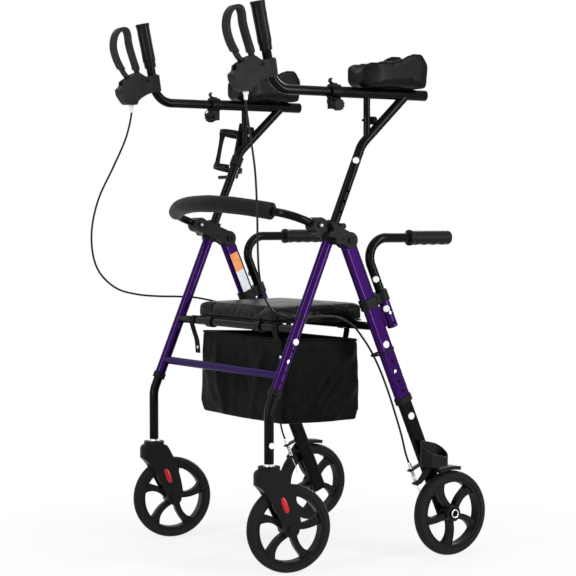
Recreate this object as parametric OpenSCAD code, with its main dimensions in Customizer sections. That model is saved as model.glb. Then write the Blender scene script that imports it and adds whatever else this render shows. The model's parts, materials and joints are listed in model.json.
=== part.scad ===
// Upright rolling walker with forearm rests: a folding A-frame on four wheels.
// Millimetres, +Z up, travel towards -Y, the walker's left side at +X.
// The origin lies on the floor, midway between the sides and between the axles.

/* [Frame] */
// middle plane to the centre of each side frame
track = 274; // [240:1:320]
// outside diameter of the round frame tubes
frame_tube_d = 25.4; // [22:0.1:32]
// wall of all frame tubes
frame_wall = 1.4; // [1:0.1:2.5]
// lean of the front tubes from the vertical
front_lean = 22.7; // [15:0.1:30]
// fore-aft place of the front tube's lower end
front_foot_y = -248.4; // [-300:0.1:-180]
// height of the front tube's lower end
front_foot_z = 411.4; // [380:0.1:450]
// length of each front tube
front_tube_len = 404; // [380:1:440]
// diameter of the low crossbar between the front tubes
crossbar_d = 19; // [14:0.5:24]
// distance of the crossbar up the front tubes
crossbar_t = 34; // [26:1:60]
// lean of the rear legs from the vertical
rear_lean = 23.3; // [15:0.1:30]
// height of the folding pivot
pivot_z = 744; // [700:1:780]
// diameter of the folding pivot pins
pivot_pin_d = 8; // [6:0.5:12]

/* [Telescopic legs] */
// diameter of the round sliding tubes
leg_d = 22.2; // [18:0.1:22.3]
// fore-aft place of the caster stems
stem_y = -266.5; // [-320:0.5:-262]
// bend radius of the front legs
leg_bend_r = 65; // [40:1:80]
// height of the front leg's lower end
leg_bottom_z = 248; // [240:1:270]
// length of the front leg inside its tube
leg_insert = 120; // [80:1:140]
// depth of the rear frame's flat-sided tube
rear_depth = 40; // [32:0.5:50]
// thickness of the rear frame's flat-sided tube
rear_thick = 20; // [16:0.5:26]
// distance of the rear tube's lower end from the axle
rear_tube_start = 304; // [260:1:320]
// length of the rear leg inside its tube
rear_insert = 130; // [90:1:150]
// spacing of the height holes
hole_pitch = 25.4; // [20:0.1:30]
// diameter of the height holes
hole_d = 7; // [5:0.1:8]
// diameter of the snap buttons
button_d = 8; // [6:0.1:9]
// distance of the front snap button up its tube
front_button_t = 68; // [60:1:90]
// distance of the rear snap button from the axle
rear_button_s = 370; // [360:1:390]

/* [Wheels and casters] */
// outside diameter of the four wheels
wheel_d = 200; // [180:1:206]
// fore-aft place of the rear axle
rear_axle_y = 217.7; // [180:0.1:260]
// width of the tyres
tyre_w = 28; // [20:0.5:32]
// outside diameter of the rims
rim_d = 164; // [140:1:168]
// wall of the rim band
rim_wall = 8; // [4:0.5:12]
// width of the wheel hubs
hub_w = 32; // [24:0.5:36]
// diameter of the wheel hubs
hub_d = 38; // [28:0.5:48]
// diameter of all four axles
axle_d = 12; // [8:0.5:14]
// number of rim spokes
spoke_count = 5; // [3:1:9]
// distance of the caster axle behind its stem
trail = 47; // [30:0.5:55]
// swivel of both casters in the rest pose
caster_turn = 10; // [-20:1:20]
// diameter of the caster stems
stem_d = 12; // [8:0.5:14]
// height of the top of the caster forks
fork_top_z = 242; // [232:1:244]
// thickness of the fork arms
fork_arm_t = 6; // [4:0.5:9]
// side clearance of the rear wheel hub from its leg
rear_hub_gap = 1.8; // [1:0.1:4]

/* [Brakes] */
// distance of the brake pivot from the rear axle
brake_pivot_s = 122; // [118:1:130]
// running gap between the brake shoe and the tyre
shoe_gap = 3; // [2:0.1:5]
// thickness of the brake shoe
shoe_t = 9; // [6:0.5:12]
// distance of the brake spring in front of the leg's centre line
spring_reach = 44; // [38:0.5:52]
// mean radius of the brake spring
spring_r = 4.4; // [3.6:0.1:6]
// wire diameter of the brake spring
spring_wire_d = 1.5; // [1:0.1:1.8]
// number of turns of the brake spring
spring_turns = 8; // [5:1:9]
// outside diameter of the brake cables
cable_d = 5; // [4:0.1:6]

/* [Seat and bag] */
// width of the seat
seat_w = 366; // [300:1:380]
// depth of the seat
seat_depth = 248; // [200:1:250]
// thickness of the seat board
pan_t = 6; // [5:0.5:14]
// thickness of the seat cushion at its edge
cushion_h = 27; // [20:0.5:36]
// rise of the seat cushion's crown
cushion_crown = 5; // [2:0.5:12]
// height of the centre line of both seat bars
seat_bar_z = 544; // [520:1:560]
// diameter of both seat bars
seat_bar_d = 19; // [14:0.5:22]
// width of the bag
bag_w = 392; // [300:1:420]
// depth of the bag
bag_depth = 218; // [150:1:224]
// height of the bag's rim
bag_top_z = 519; // [480:1:522]
// height of the bag
bag_h = 197; // [120:1:220]
// fall of the bag's rim from its front to its rear
bag_rear_fall = 8; // [1:1:30]
// wall of the bag
bag_wall = 3; // [2:0.5:5]

/* [Backrest] */
// diameter of the backrest tube
backrest_d = 19; // [14:0.5:22]
// outside diameter of the backrest foam
foam_d = 40; // [30:0.5:50]
// rise of the backrest from the horizontal
backrest_tilt = 20; // [16:0.5:26]
// radius of the two short bends of the backrest tube
backrest_bend_r = 57; // [50:1:75]
// turn of each short bend, before the long bow between them
backrest_turn = 60; // [52:1:70]
// straight length between the bracket bolt and the bend
backrest_straight = 31; // [24:1:50]

/* [Uprights and armrests] */
// distance of the upright's lower end up the front tube
upright_start = 240; // [230:1:280]
// distance of the upright's bend from the front tube's foot
upright_bend_t = 597; // [560:1:640]
// bend radius of the uprights
upright_bend_r = 60; // [40:1:90]
// lean of the upper part of the uprights
diagonal_lean = 46.7; // [38:0.1:52]
// height of the arm tubes' centre line
arm_z = 1080; // [1040:1:1120]
// front end of the arm tubes
arm_front_y = -106; // [-130:1:-90]
// rear end of the arm tubes
arm_rear_y = 160; // [150:1:180]
// diameter of the short strut under each arm tube
strut_d = 16; // [12:0.5:20]
// fore-aft place of the strut
strut_y = -4; // [-8:1:20]
// width of the arm pads
pad_w = 88; // [84:1:110]
// length of the arm pads
pad_len = 182; // [160:1:220]
// height of the arm pads at the elbow end
pad_h = 84; // [60:1:100]
// radius of the arm pad's trough
trough_r = 38; // [28:0.5:40]

/* [Hand grips and levers] */
// forward tilt of the hand grips
grip_tilt = 12.1; // [0:0.1:25]
// corner between the handle tube's two straight runs
handle_corner_y = -255; // [-270:1:-240]
// bend radius of the handle tubes
handle_bend_r = 50; // [35:1:60]
// rear end of the handle tube inside the arm tube
handle_inner_y = 70; // [60:1:90]
// diameter of the hand grips
grip_d = 32; // [28:0.5:38]
// start of the hand grip, measured from the corner
grip_start = 86; // [84:1:100]
// length of the hand grips
grip_len = 110; // [90:1:130]
// width of the brake lever strap
lever_w = 24; // [16:0.5:28]
// thickness of the brake lever strap
lever_t = 9; // [6:0.5:10]
// height of the brake lever loop above its pivot
lever_h = 126; // [100:1:140]
// reach of the brake lever loop in front of its pivot
lever_reach = 85; // [70:1:100]
// width of the brake housings
housing_w = 30; // [30:0.5:40]

/* [Rear push handles] */
// distance of the rear handle tube behind the rear tube
handle_offset = 40; // [36:0.5:50]
// height of the rear grips
rear_grip_z = 749; // [730:1:770]
// bend radius of the rear handle tubes
rear_bend_r = 45; // [35:1:55]
// distance of the rear handle's lower end from the rear axle
rear_handle_start = 478; // [474:1:490]
// length of the straight run above the bend
rear_run = 178; // [150:1:200]
// diameter of the rear grips
rear_grip_d = 34; // [28:0.5:38]
// length of the rear grips
rear_grip_len = 120; // [90:1:130]
// distance of the handle socket from the rear axle
socket_s = 466; // [455:1:470]
// length of the handle socket
socket_len = 66; // [50:1:70]

/* [Accessories] */
// diameter of the round seat for a cane tip
cane_bore_d = 33; // [24:0.5:34]
// wall of the cane cup
cane_wall = 2.5; // [2:0.1:4]
// length of the cane cup
cane_len = 70; // [56:1:80]
// width of the cane cup
cane_w = 42; // [41:0.5:48]
// height of the cane cup's outer side
cane_h = 26; // [22:1:36]
// side frame's centre to the middle of the cane cup
cane_out = 41; // [40:0.5:46]
// rear axle to the middle of the cane cup, forwards
cane_ahead = 57.7; // [50:0.1:64]
// inside diameter of the cup holder rings
cup_ring_d = 68; // [60:1:72]
// spacing of the cup holder rings
cup_ring_pitch = 90; // [60:1:100]
// backward lean of the cup holder
cup_lean = 12; // [6:1:18]

/* [Hidden] */
$fn = 40;
// running clearance on round pins and axles, each side
run_gap = 0.05;
// sliding clearance of telescopic tubes, each side
slide_gap = 0.3;
// gap left between seated pieces
seat_gap = 0.1;
// clearance where a piece passes a moving neighbour
free_gap = 0.4;
// how far cuts run past the faces that they open
overrun = 2;
// tube bends are this much fuller than the straight runs that lap into them
bend_swell = 0.05;
bend_lap = 1;
edge_inset = 0.4;
outline_steps = 3;

frame_purple = [0.40, 0.16, 0.62];
tube_black = [0.07, 0.07, 0.08];
moulded_grey = [0.17, 0.17, 0.18];
rubber_black = [0.09, 0.09, 0.09];
foam_grey = [0.14, 0.14, 0.15];
vinyl_black = [0.08, 0.08, 0.09];
nylon_black = [0.06, 0.06, 0.07];
bright_steel = [0.75, 0.76, 0.78];

wheel_r = wheel_d / 2;
rim_r = rim_d / 2;
frame_bore = frame_tube_d - 2 * frame_wall;
rear_inner_depth = rear_depth - 2 * frame_wall;
rear_inner_thick = rear_thick - 2 * frame_wall;
rear_leg_depth = rear_inner_depth - 2 * slide_gap;
rear_leg_thick = rear_inner_thick - 2 * slide_gap;

// Places on the front tube's line, by distance up from its foot
function front_y(t) = front_foot_y + t * sin(front_lean);
function front_z(t) = front_foot_z + t * cos(front_lean);
function front_t_at(z) = (z - front_foot_z) / cos(front_lean);
// Places on the rear leg's line, by distance up from the axle
function rear_y(s) = rear_axle_y - s * sin(rear_lean);
function rear_s_at(z) = (z - wheel_r) / cos(rear_lean);

pivot_s = rear_s_at(pivot_z);
pivot_dy = rear_y(pivot_s) - front_foot_y;
pivot_dz = pivot_z - front_foot_z;
bracket_t = pivot_dy * sin(front_lean) + pivot_dz * cos(front_lean);
pivot_u = pivot_dy * cos(front_lean) - pivot_dz * sin(front_lean);
rear_top_over = 12;
rear_tube_len = pivot_s + rear_top_over - rear_tube_start;

// Front leg's bend, where the sloping run meets the caster stem's line
leg_corner_t = (stem_y - front_foot_y) / sin(front_lean);
leg_tangent = leg_bend_r * tan(front_lean / 2);
leg_bend_z = front_z(leg_corner_t) - leg_tangent;
leg_run = leg_insert - leg_corner_t - leg_tangent;
stem_insert = 42;

collar_len = 14;
collar_over = 2.6;
collar_gap = 0.6;

bracket_w = 37;
bracket_h = 34;
bracket_boss_d = 35;
bracket_boss_h = 48;
knuckle_d = 38;
front_knuckle_d = 36;
backrest_u = 43;
backrest_end = 14;
backrest_bolt_d = 6;
bolt_head_d = 14;
bolt_head_t = 4;
knob_screw_d = 8;
star_d = 52;
star_lobes = 5;
star_lobe_d = 14;
star_hub_d = 32;
star_t = 15;

bow_x = track - backrest_bend_r * (1 - cos(backrest_turn));
bow_r = bow_x / cos(backrest_turn);
bow_turn = 180 - 2 * backrest_turn;
bow_centre = backrest_straight + (backrest_bend_r - bow_r) * sin(backrest_turn);
bow_lap_turn = 0.2;
foam_short_turn = 6;

pan_rise = 2.5;
pan_z = seat_bar_z + seat_bar_d / 2 + pan_rise;
seat_lip = 3;
seat_front_y = front_y(front_t_at(seat_bar_z)) - seat_lip;
seat_mid_y = seat_front_y + seat_depth / 2;
pan_corner_r = 26;
pan_inset = 6;
cushion_lift = 1;
clip_w = 26;
clip_wall = 4;
clip_x_share = 0.62;
bumper_d = 16;
cushion_inset = 1;
cushion_sides = 48;
cushion_power_share = 0.08;

loop_w = 22;
loop_wall = 1.4;
loop_x_shares = [-0.93, 0.93];
bag_setback = 14;
bag_front_y = seat_front_y + bag_setback;

hub_inner_x = rear_leg_thick / 2 + rear_hub_gap;
rear_wheel_dx = hub_inner_x + hub_w / 2;
axle_cap_d = 24;
axle_cap_t = 4;
axle_spacer_d = 22;
axle_side_gap = 0.3;
rear_leg_end = 18;

fork_gap = hub_w + 2 * axle_side_gap;
fork_w = fork_gap + 2 * fork_arm_t;
tyre_clear = 5;
fork_end_d = 36;
fork_half = 33;
fork_nose_r = 35;
fork_brow_r = 12;
fork_collar_d = 50;
fork_collar_h = 9;
// Fork side outline: shares of the half depth and of the height above the axle
fork_shares = [
    [-0.62, 0.945], [-1.02, 0.93], [-1.26, 0.86], [-1.20, 0.75], [-0.44, 0.58],
    [0.80, 0.04], [1.00, -0.06], [2.02, 0.00], [2.04, 0.16], [1.80, 0.42], [1.44, 0.66], [1.06, 0.84],
    [0.80, 0.93], [0.55, 0.945]
];
fork_rise = fork_top_z - wheel_r;
fork_brow_z = wheel_r + fork_shares[0][1] * fork_rise + edge_inset;
nut_d = 18;
nut_t = 4;
stem_nut_d = 20;

rim_w = 25;
spoke_w = 17;
spoke_foot = 14;
spoke_tip = 14;
spoke_flare = 14;
spoke_flare_power = 5;
spoke_bow = 6.5;
spoke_steps = 10;
front_spoke_turn = 34;
rear_spoke_turn = 10;
tyre_crown_r = 19;

brake_plate_t = 5.6;
brake_bore_wall = 7;
brake_neck_share = 0.8;
brake_tab_w = 13;
brake_tab_t = 5;
brake_tab_s = 97;
shoe_from = 3;
shoe_span = 32;
anchor_t = 4;
anchor_s = 132;
anchor_over = 8;
cable_hole_d = 3;
pivot_cap_d = 14;
pivot_cap_t = 3;
curl_rings = 8;
wire_sides = 6;

button_len = 10;
short_button_len = 8;
button_tip_gap = 0.05;
button_travel = 5;

upright_tangent = upright_bend_r * tan((diagonal_lean - front_lean) / 2);
diagonal_z = front_z(upright_bend_t);
diagonal_run = (arm_z - diagonal_z) / cos(diagonal_lean) - upright_tangent;
strut_low_z = diagonal_z + (strut_y - front_y(upright_bend_t)) / tan(diagonal_lean);
upright_holes = [-3, -2, -1, 2, 3, 4];
arm_plug = 8;
clamp_d = 35;
clamp_len = 24;
clamp_ear_w = 17;
clamp_ear_drop = 39;
clamp_slit = 3;
clamp_screw_d = 6;
clamp_screw_drop = 30;
clamp_knob_d = 27;
clamp_knob_t = 15;
knob_flutes = 12;
flute_d = 3.4;
strut_knob_d = 19;
strut_knob_t = 12;
strut_knob_out = 3;
strut_screw_d = 6;
strut_screw_out = 4;
strut_knob_drop = 62;

pad_front_y = -38;
pad_floor = 31;
pad_bottom_z = arm_z + frame_tube_d / 2 + seat_gap;
// Arm pad side outline: shares of its length and height
pad_shares = [
    [0.03, 0.00], [0.00, 0.12], [0.00, 0.63], [0.16, 0.73], [0.46, 0.79], [0.56, 0.85], [0.64, 0.94],
    [0.72, 0.99], [0.80, 1.00], [0.89, 0.99], [1.00, 0.69], [0.97, 0.12], [0.93, 0.00]
];

handle_turn = 90 - grip_tilt;
handle_tangent = handle_bend_r * tan(handle_turn / 2);
handle_bend_y = handle_corner_y + handle_tangent;
handle_inner_len = handle_inner_y - handle_bend_y;
grip_cap = 6;
grip_core = grip_start + grip_len - handle_tangent - grip_cap;

// Brake lever and housing, side outlines about the lever's pivot
lever_ahead = 36;
lever_above = 52;
lever_pivot_y = handle_corner_y - lever_ahead;
lever_pivot_z = arm_z + lever_above;
lever_pin_d = 6;
lever_root_t = 12;
lever_root_d = 20;
lever_steps = 6;
// Middle line of the lever loop: shares of its reach and height
lever_shares = [
    [-0.08, 0.00], [-0.52, 0.05], [-0.73, 0.20], [-0.90, 0.40], [-0.99, 0.62], [-0.95, 0.83],
    [-0.80, 0.96], [-0.62, 0.97], [-0.54, 0.88], [-0.50, 0.70], [-0.40, 0.48], [-0.26, 0.22]
];
// Middle line of the loop's rear foot, down to the lever's root
lever_foot_shares = [[-0.31, 0.32], [-0.25, 0.18], [-0.13, 0.00]];
// Housing outline: shares of its reach in front of the pivot and of its drop below it
housing_reach = 74;
housing_drop = 60;
housing_shares = [
    [0.46, 0.25], [0.14, 0.18], [-0.05, 0.17], [-0.22, 0.28], [-0.31, 0.32], [-0.42, 0.27],
    [-0.74, 0.02], [-0.84, -0.07], [-0.86, -0.26], [-0.99, -0.41], [-0.96, -0.62], [-0.80, -0.90],
    [-0.70, -1.00], [-0.36, -1.00], [-0.30, -0.84], [-0.18, -0.71], [0.02, -0.57], [0.20, -0.49],
    [0.34, -0.46], [0.54, -0.40]
];
sleeve_d = 31;
sleeve_from = 30;
sleeve_len = 38;
lever_slot_t = lever_root_t + 2 * slide_gap;
housing_mouth = 40;

rear_bend_turn = 90 + rear_lean;
rear_bend_s = (rear_grip_z - rear_bend_r - wheel_r - (handle_offset + rear_bend_r) * sin(rear_lean))
    / cos(rear_lean);
socket_web_t = 6;
socket_web_in = 8;
rear_grip_cap = 4;
handle_clamp_h = 24;
handle_clamp_wall = 4;
socket_button_rise = 36;
socket_button_s = socket_s + socket_button_rise;
socket_holes = [-1, 0];

cane_x = track + cane_out;
cane_y = rear_axle_y - cane_ahead;
cane_z = 216;
cane_floor = 4;
cane_seat = 14;
cane_rise = 70;
cane_slope = 35;
cane_back = 11;
cane_block_z = 229;
cane_block_h = 22;
cane_block_depth = 24;

cup_out = 52;
cup_x = -track - cup_out;
cup_y = -14;
cup_z = 966;
cup_band_h = 11;
cup_band_t = 4;
cup_spine_w = 22;
cup_spine_t = 5;
cup_spine_len = 140;
cup_bar_d = 9;
cup_foot_drop = 18;
cup_clip_h = 24;
cup_clip_wall = 4;
cup_link = 8;
cup_strip_angle = 205;
cup_strip_w = 27;
cup_strip_t = 3.4;
cup_strip_shares = [
    [-0.50, -0.50], [-0.40, -0.44], [-0.31, -0.34], [-0.26, -0.10], [-0.26, 0.16], [-0.32, 0.36],
    [-0.42, 0.45], [-0.50, 0.50], [0.50, 0.50], [0.42, 0.45], [0.32, 0.36], [0.26, 0.16], [0.26, -0.10],
    [0.31, -0.34], [0.40, -0.44], [0.50, -0.50]
];
cup_clip_t = 560;

// Brake cable routes, from the lever housing to the brake: left, then right
cable_left = [
    [274, -326, 1071.8], [274, -325, 1040], [277, -317, 980], [280, -306, 900], [279, -300, 810],
    [275, -296, 730], [268, -288, 670], [258, -270, 622], [246, -238, 586], [240, -200, 571],
    [238, -160, 567], [238, -110, 570], [240, -60, 566], [243, -20, 546], [247, 4, 518],
    [254, 22, 488], [262, 42, 444], [267, 63, 390], [270, 80, 340], [272, 97, 288], [274, 108, 244],
    [274, 123.3, 207.9]
];
cable_right = [
    [-274, -326, 1071.8], [-274, -328, 1040], [-274, -344, 985], [-275, -378, 915], [-276, -414, 845],
    [-278, -432, 775], [-280, -430, 710], [-284, -408, 660], [-290, -360, 622], [-296, -300, 606],
    [-299, -240, 600], [-300, -185, 598], [-297, -140, 595], [-286, -104, 588], [-262, -74, 578],
    [-250, -40, 560], [-247, -10, 532], [-250, 10, 504], [-254, 22, 488], [-262, 42, 444],
    [-267, 63, 390], [-270, 80, 340], [-272, 97, 288], [-274, 108, 244], [-274, 123.3, 207.9]
];
cable_sides = 8;
cable_steps = 2;

// Shared shapes

module on_side(side) {
    if (side > 0) children();
    else mirror([1, 0, 0]) children();
}

module both() {
    for (side = [1, -1]) on_side(side) children();
}

module along_front(t = 0) {
    translate([track, front_foot_y, front_foot_z]) rotate([-front_lean, 0, 0])
        translate([0, 0, t]) children();
}

module along_rear(s = 0) {
    translate([track, rear_axle_y, wheel_r]) rotate([rear_lean, 0, 0]) translate([0, 0, s]) children();
}

module along_backrest() {
    along_front(bracket_t) translate([0, -backrest_u, 0])
        rotate([90 - backrest_tilt + front_lean, 0, 0]) children();
}

module along_grip() {
    translate([track, handle_corner_y, arm_z]) rotate([grip_tilt, 0, 0]) children();
}

// Outline in the side plane, drawn in Y and Z and thickened evenly across X
module side_plate(t) {
    rotate([90, 0, 90]) linear_extrude(height = t, center = true) children();
}

module rod_x(d, h) {
    rotate([0, 90, 0]) cylinder(h = h, d = d, center = true);
}

// Cylinder from x = 0 outwards
module peg_x(d, h) {
    rotate([0, 90, 0]) cylinder(h = h, d = d);
}

module pipe(h, d, bore) {
    difference() {
        cylinder(h = h, d = d);
        translate([0, 0, -overrun]) cylinder(h = h + 2 * overrun, d = bore);
    }
}

module flat_round(depth, thick, h) {
    linear_extrude(height = h) {
        square([thick, depth - thick], center = true);
        for (end = [-1, 1]) translate([0, end * (depth - thick) / 2]) circle(d = thick);
    }
}

module ring(d, bore) {
    difference() {
        circle(d = d);
        if (bore > 0) circle(d = bore);
    }
}

// Rod bend that starts at the origin towards +Z and turns towards +Y
module bend(r, turn, d, start = 0) {
    translate([0, r, 0]) rotate([90, 0, -90]) rotate([0, 0, start])
        rotate_extrude(angle = turn, $fn = 64) translate([r, 0]) circle(d = d + 2 * bend_swell);
}

module after_bend(r, turn) {
    translate([0, r * (1 - cos(turn)), r * sin(turn)]) rotate([-turn, 0, 0]) children();
}

// Bend and the straight run that follows it
module bend_and_run(r, turn, d, run) {
    bend(r, turn, d);
    after_bend(r, turn) translate([0, 0, -bend_lap]) cylinder(h = run + bend_lap, d = d);
}

function scaled(shares, w, h) = [for (p = shares) [p[0] * w, p[1] * h]];

// Smooth curve through a list of points, with the given steps between neighbours
function curve_at(p, i, f) =
    let (n = len(p), a = p[max(i - 1, 0)], b = p[i], c = p[min(i + 1, n - 1)], d = p[min(i + 2, n - 1)])
    (2 * b + (c - a) * f + (2 * a - 5 * b + 4 * c - d) * f * f + (3 * b - a - 3 * c + d) * f * f * f) / 2;
function curve(p, steps) =
    [for (i = [0:len(p) - 2]) for (k = [0:steps - 1]) curve_at(p, i, k / steps), p[len(p) - 1]];

// Closed tube swept along points: rings square to the path, flat ends, triangles only
function unit(v) = v / norm(v);
function heading(p, i) = unit(p[min(i + 1, len(p) - 1)] - p[max(i - 1, 0)]);
function sideways(v) = unit(abs(v[0]) < 0.9 ? cross(v, [1, 0, 0]) : cross(v, [0, 1, 0]));
function ring_at(p, i, r, n) =
    let (v = heading(p, i), a = sideways(v), b = cross(v, a))
    [for (k = [0:n - 1]) p[i] + r * (cos(360 * k / n) * a + sin(360 * k / n) * b)];
function ring_faces(rings, n) = [
    for (i = [0:rings - 2]) for (k = [0:n - 1]) let (a = i * n + k, b = i * n + (k + 1) % n)
        for (f = [[a, a + n, b], [b, a + n, b + n]]) f,
    for (k = [1:n - 2]) [0, k, k + 1],
    for (k = [1:n - 2]) let (a = (rings - 1) * n) [a, a + k + 1, a + k]
];
module sweep(p, r, n) {
    polyhedron(points = [for (i = [0:len(p) - 1]) each ring_at(p, i, r, n)], faces = ring_faces(len(p), n));
}

// Snap button whose tip reaches the given distance from the tube's centre line
module snap_button(tip, length) {
    translate([tip - length, 0, 0]) peg_x(button_d, length);
}

// Snap button in a round tube, its tip rounded to the bore
module round_button(length) {
    intersection() {
        snap_button(frame_bore / 2, length);
        translate([0, 0, -button_d]) cylinder(h = 2 * button_d, d = frame_bore - 2 * button_tip_gap);
    }
}

// Front frame

module front_frame() color(frame_purple) {
    both() along_front() difference() {
        pipe(front_tube_len, frame_tube_d, frame_bore);
        for (k = [-2:1]) translate([0, 0, front_button_t + k * hole_pitch])
            peg_x(k == 0 ? button_d + 2 * slide_gap : hole_d, frame_tube_d);
        translate([0, 0, bracket_t]) peg_x(knob_screw_d + 2 * slide_gap, frame_tube_d);
    }
    difference() {
        translate([0, front_y(crossbar_t), front_z(crossbar_t)]) rod_x(crossbar_d, 2 * track);
        both() along_front() cylinder(h = front_tube_len, d = frame_tube_d - frame_wall);
    }
}

module front_collars() color(moulded_grey) {
    both() along_front(-collar_len - seat_gap)
        pipe(collar_len, frame_tube_d + 2 * collar_over, leg_d + 2 * collar_gap);
}

module hinge_brackets() color(moulded_grey) {
    both() along_front(bracket_t) difference() {
        union() {
            side_plate(bracket_w) {
                translate([-backrest_u, 0]) circle(d = front_knuckle_d);
                translate([-backrest_u, -bracket_h / 2]) square([backrest_u + pivot_u, bracket_h]);
                translate([pivot_u, 0]) circle(d = knuckle_d);
            }
            translate([0, 0, -bracket_boss_h / 2]) cylinder(h = bracket_boss_h, d = bracket_boss_d);
        }
        translate([0, 0, -bracket_boss_h]) cylinder(h = 2 * bracket_boss_h, d = frame_tube_d + 2 * seat_gap);
        peg_x(knob_screw_d + 2 * slide_gap, bracket_w);
        translate([-rear_thick / 2 - free_gap, frame_tube_d / 2 + overrun, -bracket_boss_h])
            cube([rear_thick + 2 * free_gap, pivot_u + knuckle_d, 2 * bracket_boss_h]);
        translate([0, pivot_u, 0]) rod_x(pivot_pin_d + 2 * run_gap, bracket_w + 2 * overrun);
        translate([0, -backrest_u, 0]) {
            rod_x(backrest_bolt_d + 2 * run_gap, bracket_w + 2 * overrun);
            rotate([90 - backrest_tilt + front_lean, 0, 0]) translate([0, 0, -backrest_end - seat_gap])
                cylinder(h = front_knuckle_d + backrest_end, d = backrest_d + 2 * seat_gap);
        }
    }
}

module headed_pin(d, grip_len) {
    rod_x(d, grip_len + 2 * seat_gap + bolt_head_t);
    for (end = [-1, 1]) translate([end * (grip_len / 2 + seat_gap + bolt_head_t / 2), 0, 0])
        rod_x(bolt_head_d, bolt_head_t);
}

module hinge_pins() color(bright_steel) {
    both() along_front(bracket_t) {
        translate([0, pivot_u, 0]) headed_pin(pivot_pin_d, bracket_w);
        translate([0, -backrest_u, 0]) headed_pin(backrest_bolt_d, bracket_w);
    }
}

// Long bow of the backrest between its two short bends
module backrest_bow(d, turn) {
    along_backrest() translate([-track, 0, bow_centre]) rotate([90, 0, 0]) rotate([0, 0, 90 - turn / 2])
        rotate_extrude(angle = turn, $fn = 240) translate([bow_r, 0]) circle(d = d, $fn = 48);
}

module backrest_tube() color(tube_black) {
    both() along_backrest() {
        difference() {
            translate([0, 0, -backrest_end])
                cylinder(h = backrest_end + backrest_straight + bend_lap, d = backrest_d);
            rod_x(backrest_bolt_d + 2 * run_gap, backrest_d + 2 * overrun);
        }
        translate([0, 0, backrest_straight]) rotate([0, 0, 90])
            bend(backrest_bend_r, backrest_turn, backrest_d);
    }
    backrest_bow(backrest_d, bow_turn + 2 * bow_lap_turn);
}

module backrest_foam() color(foam_grey) difference() {
    backrest_bow(foam_d, bow_turn - foam_short_turn);
    backrest_bow(backrest_d + 2 * seat_gap, bow_turn);
}

module star_knob(side) color(moulded_grey) {
    screw = bracket_w / 2 + seat_gap - leg_d / 2 - slide_gap;
    on_side(side) along_front(bracket_t) translate([bracket_w / 2 + seat_gap, 0, 0]) {
        translate([star_t / 2, 0, 0]) side_plate(star_t) {
            circle(d = star_hub_d);
            for (k = [0:star_lobes - 1]) rotate([0, 0, 360 * k / star_lobes])
                translate([(star_d - star_lobe_d) / 2, 0]) circle(d = star_lobe_d);
        }
        translate([-screw, 0, 0]) peg_x(knob_screw_d, screw + star_t / 2);
    }
}

// Seat and bag

module seat_bar() color(tube_black) {
    bar_t = front_t_at(seat_bar_z);
    difference() {
        translate([0, front_y(bar_t), seat_bar_z]) rod_x(seat_bar_d, 2 * track);
        both() along_front() cylinder(h = front_tube_len, d = frame_tube_d + 2 * seat_gap);
    }
}

// Outline of the seat board, which stops short of the cushion's edge
module pan_outline(grow) {
    w = seat_w - 2 * pan_inset + 2 * grow;
    d = seat_depth - 2 * pan_inset + 2 * grow;
    square([w - 2 * pan_corner_r, d], center = true);
    square([w, d - 2 * pan_corner_r], center = true);
    for (x = [-1, 1]) for (y = [-1, 1])
        translate([x * (w / 2 - pan_corner_r), y * (d / 2 - pan_corner_r)]) circle(r = pan_corner_r);
}

module seat_pan() color(tube_black) {
    bar_y = front_y(front_t_at(seat_bar_z));
    rest_y = rear_y(rear_s_at(seat_bar_z));
    rest_top = seat_bar_z + seat_bar_d / 2 + slide_gap;
    difference() {
        union() {
            translate([0, seat_mid_y, pan_z]) linear_extrude(height = pan_t) pan_outline(0);
            for (x = [-1, 1]) translate([x * clip_x_share * seat_w / 2, bar_y, seat_bar_z])
                rod_x(seat_bar_d + 2 * clip_wall, clip_w);
            for (x = [-1, 1]) translate([x * clip_x_share * seat_w / 2, rest_y, rest_top])
                cylinder(h = pan_z + pan_t / 2 - rest_top, d = bumper_d);
            for (x = [-1, 1])
                translate([x * clip_x_share * seat_w / 2 - bumper_d / 2, seat_mid_y, pan_z + edge_inset])
                    cube([bumper_d, rest_y - seat_mid_y, pan_t - 2 * edge_inset]);
        }
        for (x = [-1, 1]) translate([x * clip_x_share * seat_w / 2, bar_y, seat_bar_z])
            rod_x(seat_bar_d + 2 * slide_gap, clip_w + 2 * overrun);
    }
}

// Crowned cushion: rings of a rounded rectangle that swell, then draw in to the crown
cushion_level_shares = [
    [0.985, 0.00], [0.997, 0.12], [1.00, 0.48], [0.998, 0.72], [0.985, 0.90], [0.955, 1.00]
];
crown_level_shares = [[0.86, 0.42], [0.70, 0.72], [0.50, 0.90], [0.25, 0.98]];
function power_of(v) = sign(v) * pow(abs(v), cushion_power_share);
function cushion_ring(w, d, share, z) = [
    for (k = [0:cushion_sides - 1]) let (a = 360 * (k + 0.5) / cushion_sides)
        [w / 2 * share * power_of(cos(a)), d / 2 * share * power_of(sin(a)), z]
];
module cushion(w, d, h, crown) {
    rows = len(cushion_level_shares) + len(crown_level_shares);
    points = [
        for (v = cushion_level_shares) each cushion_ring(w, d, v[0], v[1] * h),
        for (v = crown_level_shares) each cushion_ring(w, d, v[0], h + v[1] * crown),
        [0, 0, h + crown], [0, 0, 0]
    ];
    top = rows * cushion_sides;
    faces = [
        for (i = [0:rows - 2]) for (k = [0:cushion_sides - 1])
            let (a = i * cushion_sides + k, b = i * cushion_sides + (k + 1) % cushion_sides)
            for (f = [[a, a + cushion_sides, b], [b, a + cushion_sides, b + cushion_sides]]) f,
        for (k = [0:cushion_sides - 1])
            [top - cushion_sides + k, top, top - cushion_sides + (k + 1) % cushion_sides],
        for (k = [0:cushion_sides - 1]) [k, (k + 1) % cushion_sides, top + 1]
    ];
    polyhedron(points = points, faces = faces);
}

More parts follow.
